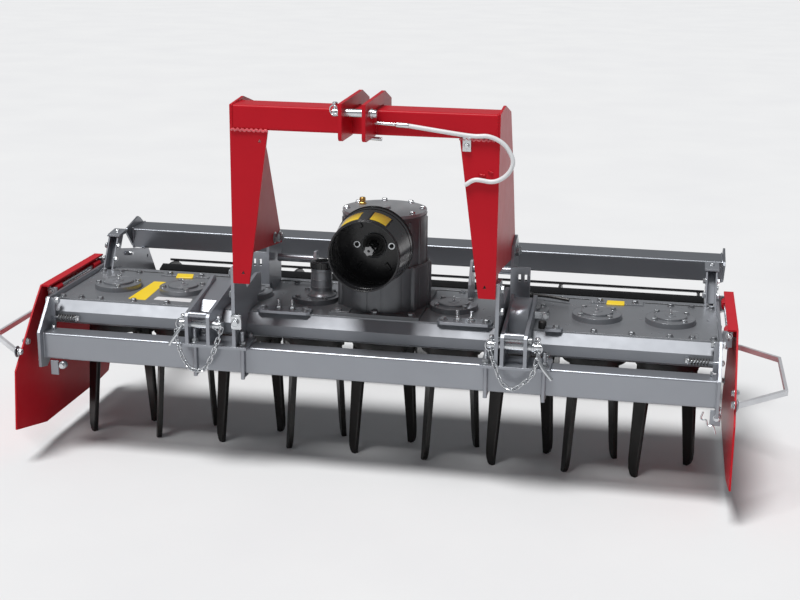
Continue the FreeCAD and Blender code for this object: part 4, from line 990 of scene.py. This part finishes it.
# --- roller and its frame
PIVOT = middle("pivot_pins")
ROLLER = middle("roller_axle")
ARM_OUT = high("roller_arm_right").x
ARM_IN = low("roller_arm_right").x
BEAM_LOW, BEAM_HIGH = low("roller_beam"), high("roller_beam")
TOWER_IN, TOWER_OUT = 1.118, 1.158
DISCS, BARS = 5, 10
BAR_RADIUS, DISC_THICK = 0.217, 0.01


def roller_frame_details():
    """Bearing bolts, depth stop pins and welds that swing with the roller frame."""
    zinc, welds = Shape(), Shape()
    stop_y, stop_z = PIVOT.y + 0.112, PIVOT.z + 0.057
    front, back = BEAM_LOW.y, BEAM_HIGH.y
    stop_pin = mm((7, 0), (8.5, 2), (8.5, 48), (7, 50))
    for side in SIDES:
        for turn in (45, 135, 225, 315):
            a = radians(turn)
            y, z = ROLLER.y + 0.041 * cos(a), ROLLER.z + 0.041 * sin(a)
            zinc.bolt(facing_out(side, ARM_OUT, y, z, turn), 0.0085, 0.007, 1.15)
            zinc.bolt(facing_in(side, ARM_IN - 0.012, y, z, turn), 0.0085, 0.007, 1.1)
        zinc.lathe(facing_out(side, ARM_IN - 0.018, stop_y, stop_z), stop_pin, 20)
        zinc.hoop(at(side * (ARM_OUT + 0.012), stop_y, stop_z - 0.016), RIGHT, 0.02, 0.002)
        for y in (front, front + 0.034):
            for x in (ARM_IN, ARM_OUT):
                welds.seam((side * x, y, BEAM_LOW.z - 0.001), (side * x, y + 0.034, BEAM_LOW.z - 0.001))
        end = side * (BEAM_HIGH.x - 0.001)
        corners = [(front, BEAM_LOW.z), (front, BEAM_HIGH.z), (back, BEAM_HIGH.z), (back, BEAM_LOW.z)]
        for start, stop in zip(corners, corners[1:] + corners[:1]):
            welds.seam((end, *start), (end, *stop), radius=0.0034)
    piece("roller_frame_bolts", zinc, "zinc_steel", body="roller_frame")
    piece("roller_frame_welds", welds, "silver_paint", body="roller_frame")


def pivot_fittings():
    """End caps, grease nipples and bolts at the roller frame's pivots and towers."""
    zinc = Shape()
    y, z = PIVOT.y, PIVOT.z
    end, tower_top = high("pivot_pins").x, high("roller_towers").z
    cap = mm((19.5, -1), (19.5, 1), (16, 4), (4, 4))
    for side in SIDES:
        zinc.lathe(facing_out(side, end, y, z), cap)
        zinc.nipple(facing_out(side, end + 0.004, y, z), 0.7)
        for level, back in ((0.58, 0.255), (0.625, 0.285)):
            zinc.bolt(facing_out(side, TOWER_OUT, back, level, 20), *SMALL_HEAD)
            zinc.bolt(facing_in(side, TOWER_IN, back, level, 20), *SMALL_NUT)
        zinc.bolt(spot(side * 1.138, 0.345, tower_top - 0.006), *SMALL_HEAD)
    piece("pivot_fittings", zinc, "zinc_steel")


def roller_details():
    """Welds where every bar meets a disc, and the ends of the stub shafts."""
    welds, ends = Shape(), Shape()
    y, z = ROLLER.y, ROLLER.z
    first, last = low("roller_discs").x, high("roller_discs").x - DISC_THICK
    inner = BAR_RADIUS - 0.0095
    for disc in range(DISCS):
        x = first + disc * (last - first) / (DISCS - 1)
        for face in (x, x + DISC_THICK):
            for bar in range(BARS):
                a = radians(bar * 360 / BARS + 180 / BARS)
                root = at(face, y, z) + Vector((0, sin(a), -cos(a))) * inner
                along = Vector((0, cos(a), sin(a))) * 0.016
                welds.weld([root - along, root + along], 0.0026, 0.008)
            welds.weld(circle(at(face, y, z), RIGHT, 0.0515, 0, 350, 40), 0.0032, 0.008)
    piece("roller_welds", welds, "black_paint", body="roller")
    cap = mm((19.5, -1), (19.5, 1), (16, 3), (4, 3))
    for side in SIDES:
        end = facing_out(side, high("roller_axle").x, y, z)
        ends.lathe(end, cap)
        ends.nipple(lift(end, 0.002), 0.6)
    piece("roller_stub_ends", ends, "zinc_steel", body="roller")


# --- welds
def frame_welds():
    """Beads along the joints of the silver and red frame parts."""
    silver, red, beads = Shape(), Shape(), Shape()
    bar_low, bar_high = low("front_bar"), high("front_bar")
    front, back = bar_low.y, bar_high.y
    bar = [(front, bar_low.z), (front, bar_high.z), (back, bar_high.z), (back, bar_low.z)]
    face = MAST_FRONT + 0.001
    for side in SIDES:
        x = side * (PLATE_IN - 0.001)
        for start, stop in zip(bar, bar[1:]):
            silver.seam((x, *start), (x, *stop))
        silver.seam((x, -0.219, 0.47), (x, -0.219, 0.505), (x, -0.186, 0.54))
        bead = [at(side * (MAST_IN + 0.004 - 0.0078 * k), MAST_FRONT - 0.002,
                   CROSS_LOW + (0.003 if k % 2 else -0.004)) for k in range(17)]
        beads.weld(bead, 0.0042, 0.0078)
        x, level = side * MAST_IN, CROSS_TOP - 0.001
        red.seam((x, face, CROSS_LOW), (x, face, CROSS_TOP), radius=0.0035)
        red.seam((x, MAST_FRONT, level), (x, MAST_FRONT + 0.118, level), radius=0.0035)
        for x in (side * 0.0315, side * 0.0435):
            red.seam((x, MAST_FRONT, CROSS_LOW + 0.004), (x, MAST_FRONT, CROSS_TOP - 0.004), radius=0.0035)
            red.seam((x, MAST_FRONT + 0.008, CROSS_TOP), (x, MAST_FRONT + 0.115, CROSS_TOP), radius=0.0035)
        for x in (side * 0.29 - 0.005, side * 0.29 + 0.005):
            silver.seam((x, 0.1, TOP), (x, 0.214, TOP))
        for x in (side * TOWER_IN, side * TOWER_OUT):
            silver.seam((x, 0.229, TOP), (x, 0.277, TOP))
    for x in (-0.62, -0.608, -0.544, -0.532, -STAY_OUT, -MAST_X, MAST_X, STAY_OUT, 0.459, 0.471, 0.535,
              0.547):
        silver.seam((x, -0.35, BASE_TOP), (x, -0.24, BASE_TOP), radius=0.0028)
    lug = MAST_FRONT - 0.001
    red.seam((0.375, lug, 1.094), (0.398, lug, 1.092), radius=0.004)
    red.seam((0.404, lug, 1.108), (0.421, lug, 1.1), radius=0.004)
    piece("frame_welds", silver, "silver_paint")
    piece("headstock_welds", red, "red_paint")
    # The beads under the crossbar take the lighter red, a painted highlight.
    piece("headstock_front_beads", beads, "red_paint", WELD_RED_HIGHLIGHT)


# --- camera and light
# The angles are the camera's yaw, pitch and roll in degrees.
CAMERA_PLACE, CAMERA_LENS = (0.9526, -4.8933, 1.8936), 62.02
CAMERA_ANGLES = (10.985, 15.81, 0.646)
SUN_PLACE, SUN_TARGET = (-1.2, -1.74, 6.02), Vector((0, 0, 0.4))
SUN_ANGLE, SUN_POWER = radians(20), 3.1
SKY_COLOUR, SKY_STRENGTH = (0.93, 0.96, 1.0, 1), 0.24


def camera():
    """Stands in front and to the right of the machine, looking down at it."""
    yaw, pitch, roll = (radians(angle) for angle in CAMERA_ANGLES)
    look = Vector((-sin(yaw) * cos(pitch), cos(yaw) * cos(pitch), -sin(pitch)))
    side = Vector((cos(yaw), sin(yaw), 0))
    up = side.cross(look)
    right = side * cos(roll) + up * sin(roll)
    above = up * cos(roll) - side * sin(roll)
    data = bpy.data.cameras.new("view_camera")
    data.sensor_width = 36
    data.lens = CAMERA_LENS
    item = add_object("view_camera", data)
    turn = Matrix((right, above, -look)).transposed().to_4x4()
    item.matrix_world = Matrix.Translation(CAMERA_PLACE) @ turn
    scene.camera = item


def sun():
    """A soft sun overhead, aimed at the machine."""
    data = bpy.data.lights.new("overhead_sun", "SUN")
    data.angle = SUN_ANGLE
    data.energy = SUN_POWER
    item = add_object("overhead_sun", data)
    item.location = SUN_PLACE
    item.rotation_euler = (SUN_TARGET - item.location).to_track_quat("-Z", "Y").to_euler()


def studio():
    """A pale floor in an even pale surround, under the sun."""
    scene.view_settings.view_transform = "Standard"
    world = bpy.data.worlds.new("studio")
    scene.world = world
    world.use_nodes = True
    background = world.node_tree.nodes["Background"]
    background.inputs["Color"].default_value = SKY_COLOUR
    background.inputs["Strength"].default_value = SKY_STRENGTH
    sun()
    half = 60
    mesh = bpy.data.meshes.new("floor")
    mesh.from_pydata([(x, y, 0) for x, y in oblong(-half, -half, half, half)], [], [(0, 1, 2, 3)])
    floor = add_object("floor", mesh)
    f = Finish("pale_floor")
    f.feed("Base Color", f.mix(f.span(f.noise(1.3, 6), 0.3, 0.7), (0.74, 0.74, 0.745, 1),
                               (0.77, 0.77, 0.77, 1)))
    f.set(Roughness=0.9)
    mesh.materials.append(f.material)


def paint_frame():
    """Every frame node takes the finish of its material slot."""
    slots = {part["node"]: part["material_slot"] for part in frame["record"]["subparts"]}
    for name, node in frame["nodes"].items():
        finish = NODE_FINISHES.get(name, FINISHES[slots[name]])
        if not node.material_slots:
            node.data.materials.append(finish)
        for entry in node.material_slots:
            entry.material = finish


camera()
studio()
paint_frame()
cover_bolts()
rear_flange()
bearing_details()
cover_labels()
gearbox_details()
filler_details()
shield_details()
drive_shaft()
headstock_hardware()
top_link_hardware()
hook_details()
hitch_hardware()
hitch_extras()
end_fittings()
hinge_fittings()
side_plate_details(-1, "left")
side_plate_details(1, "right")
for number in range(1, 10):
    rotor_details(number)
roller_frame_details()
pivot_fittings()
roller_details()
frame_welds()
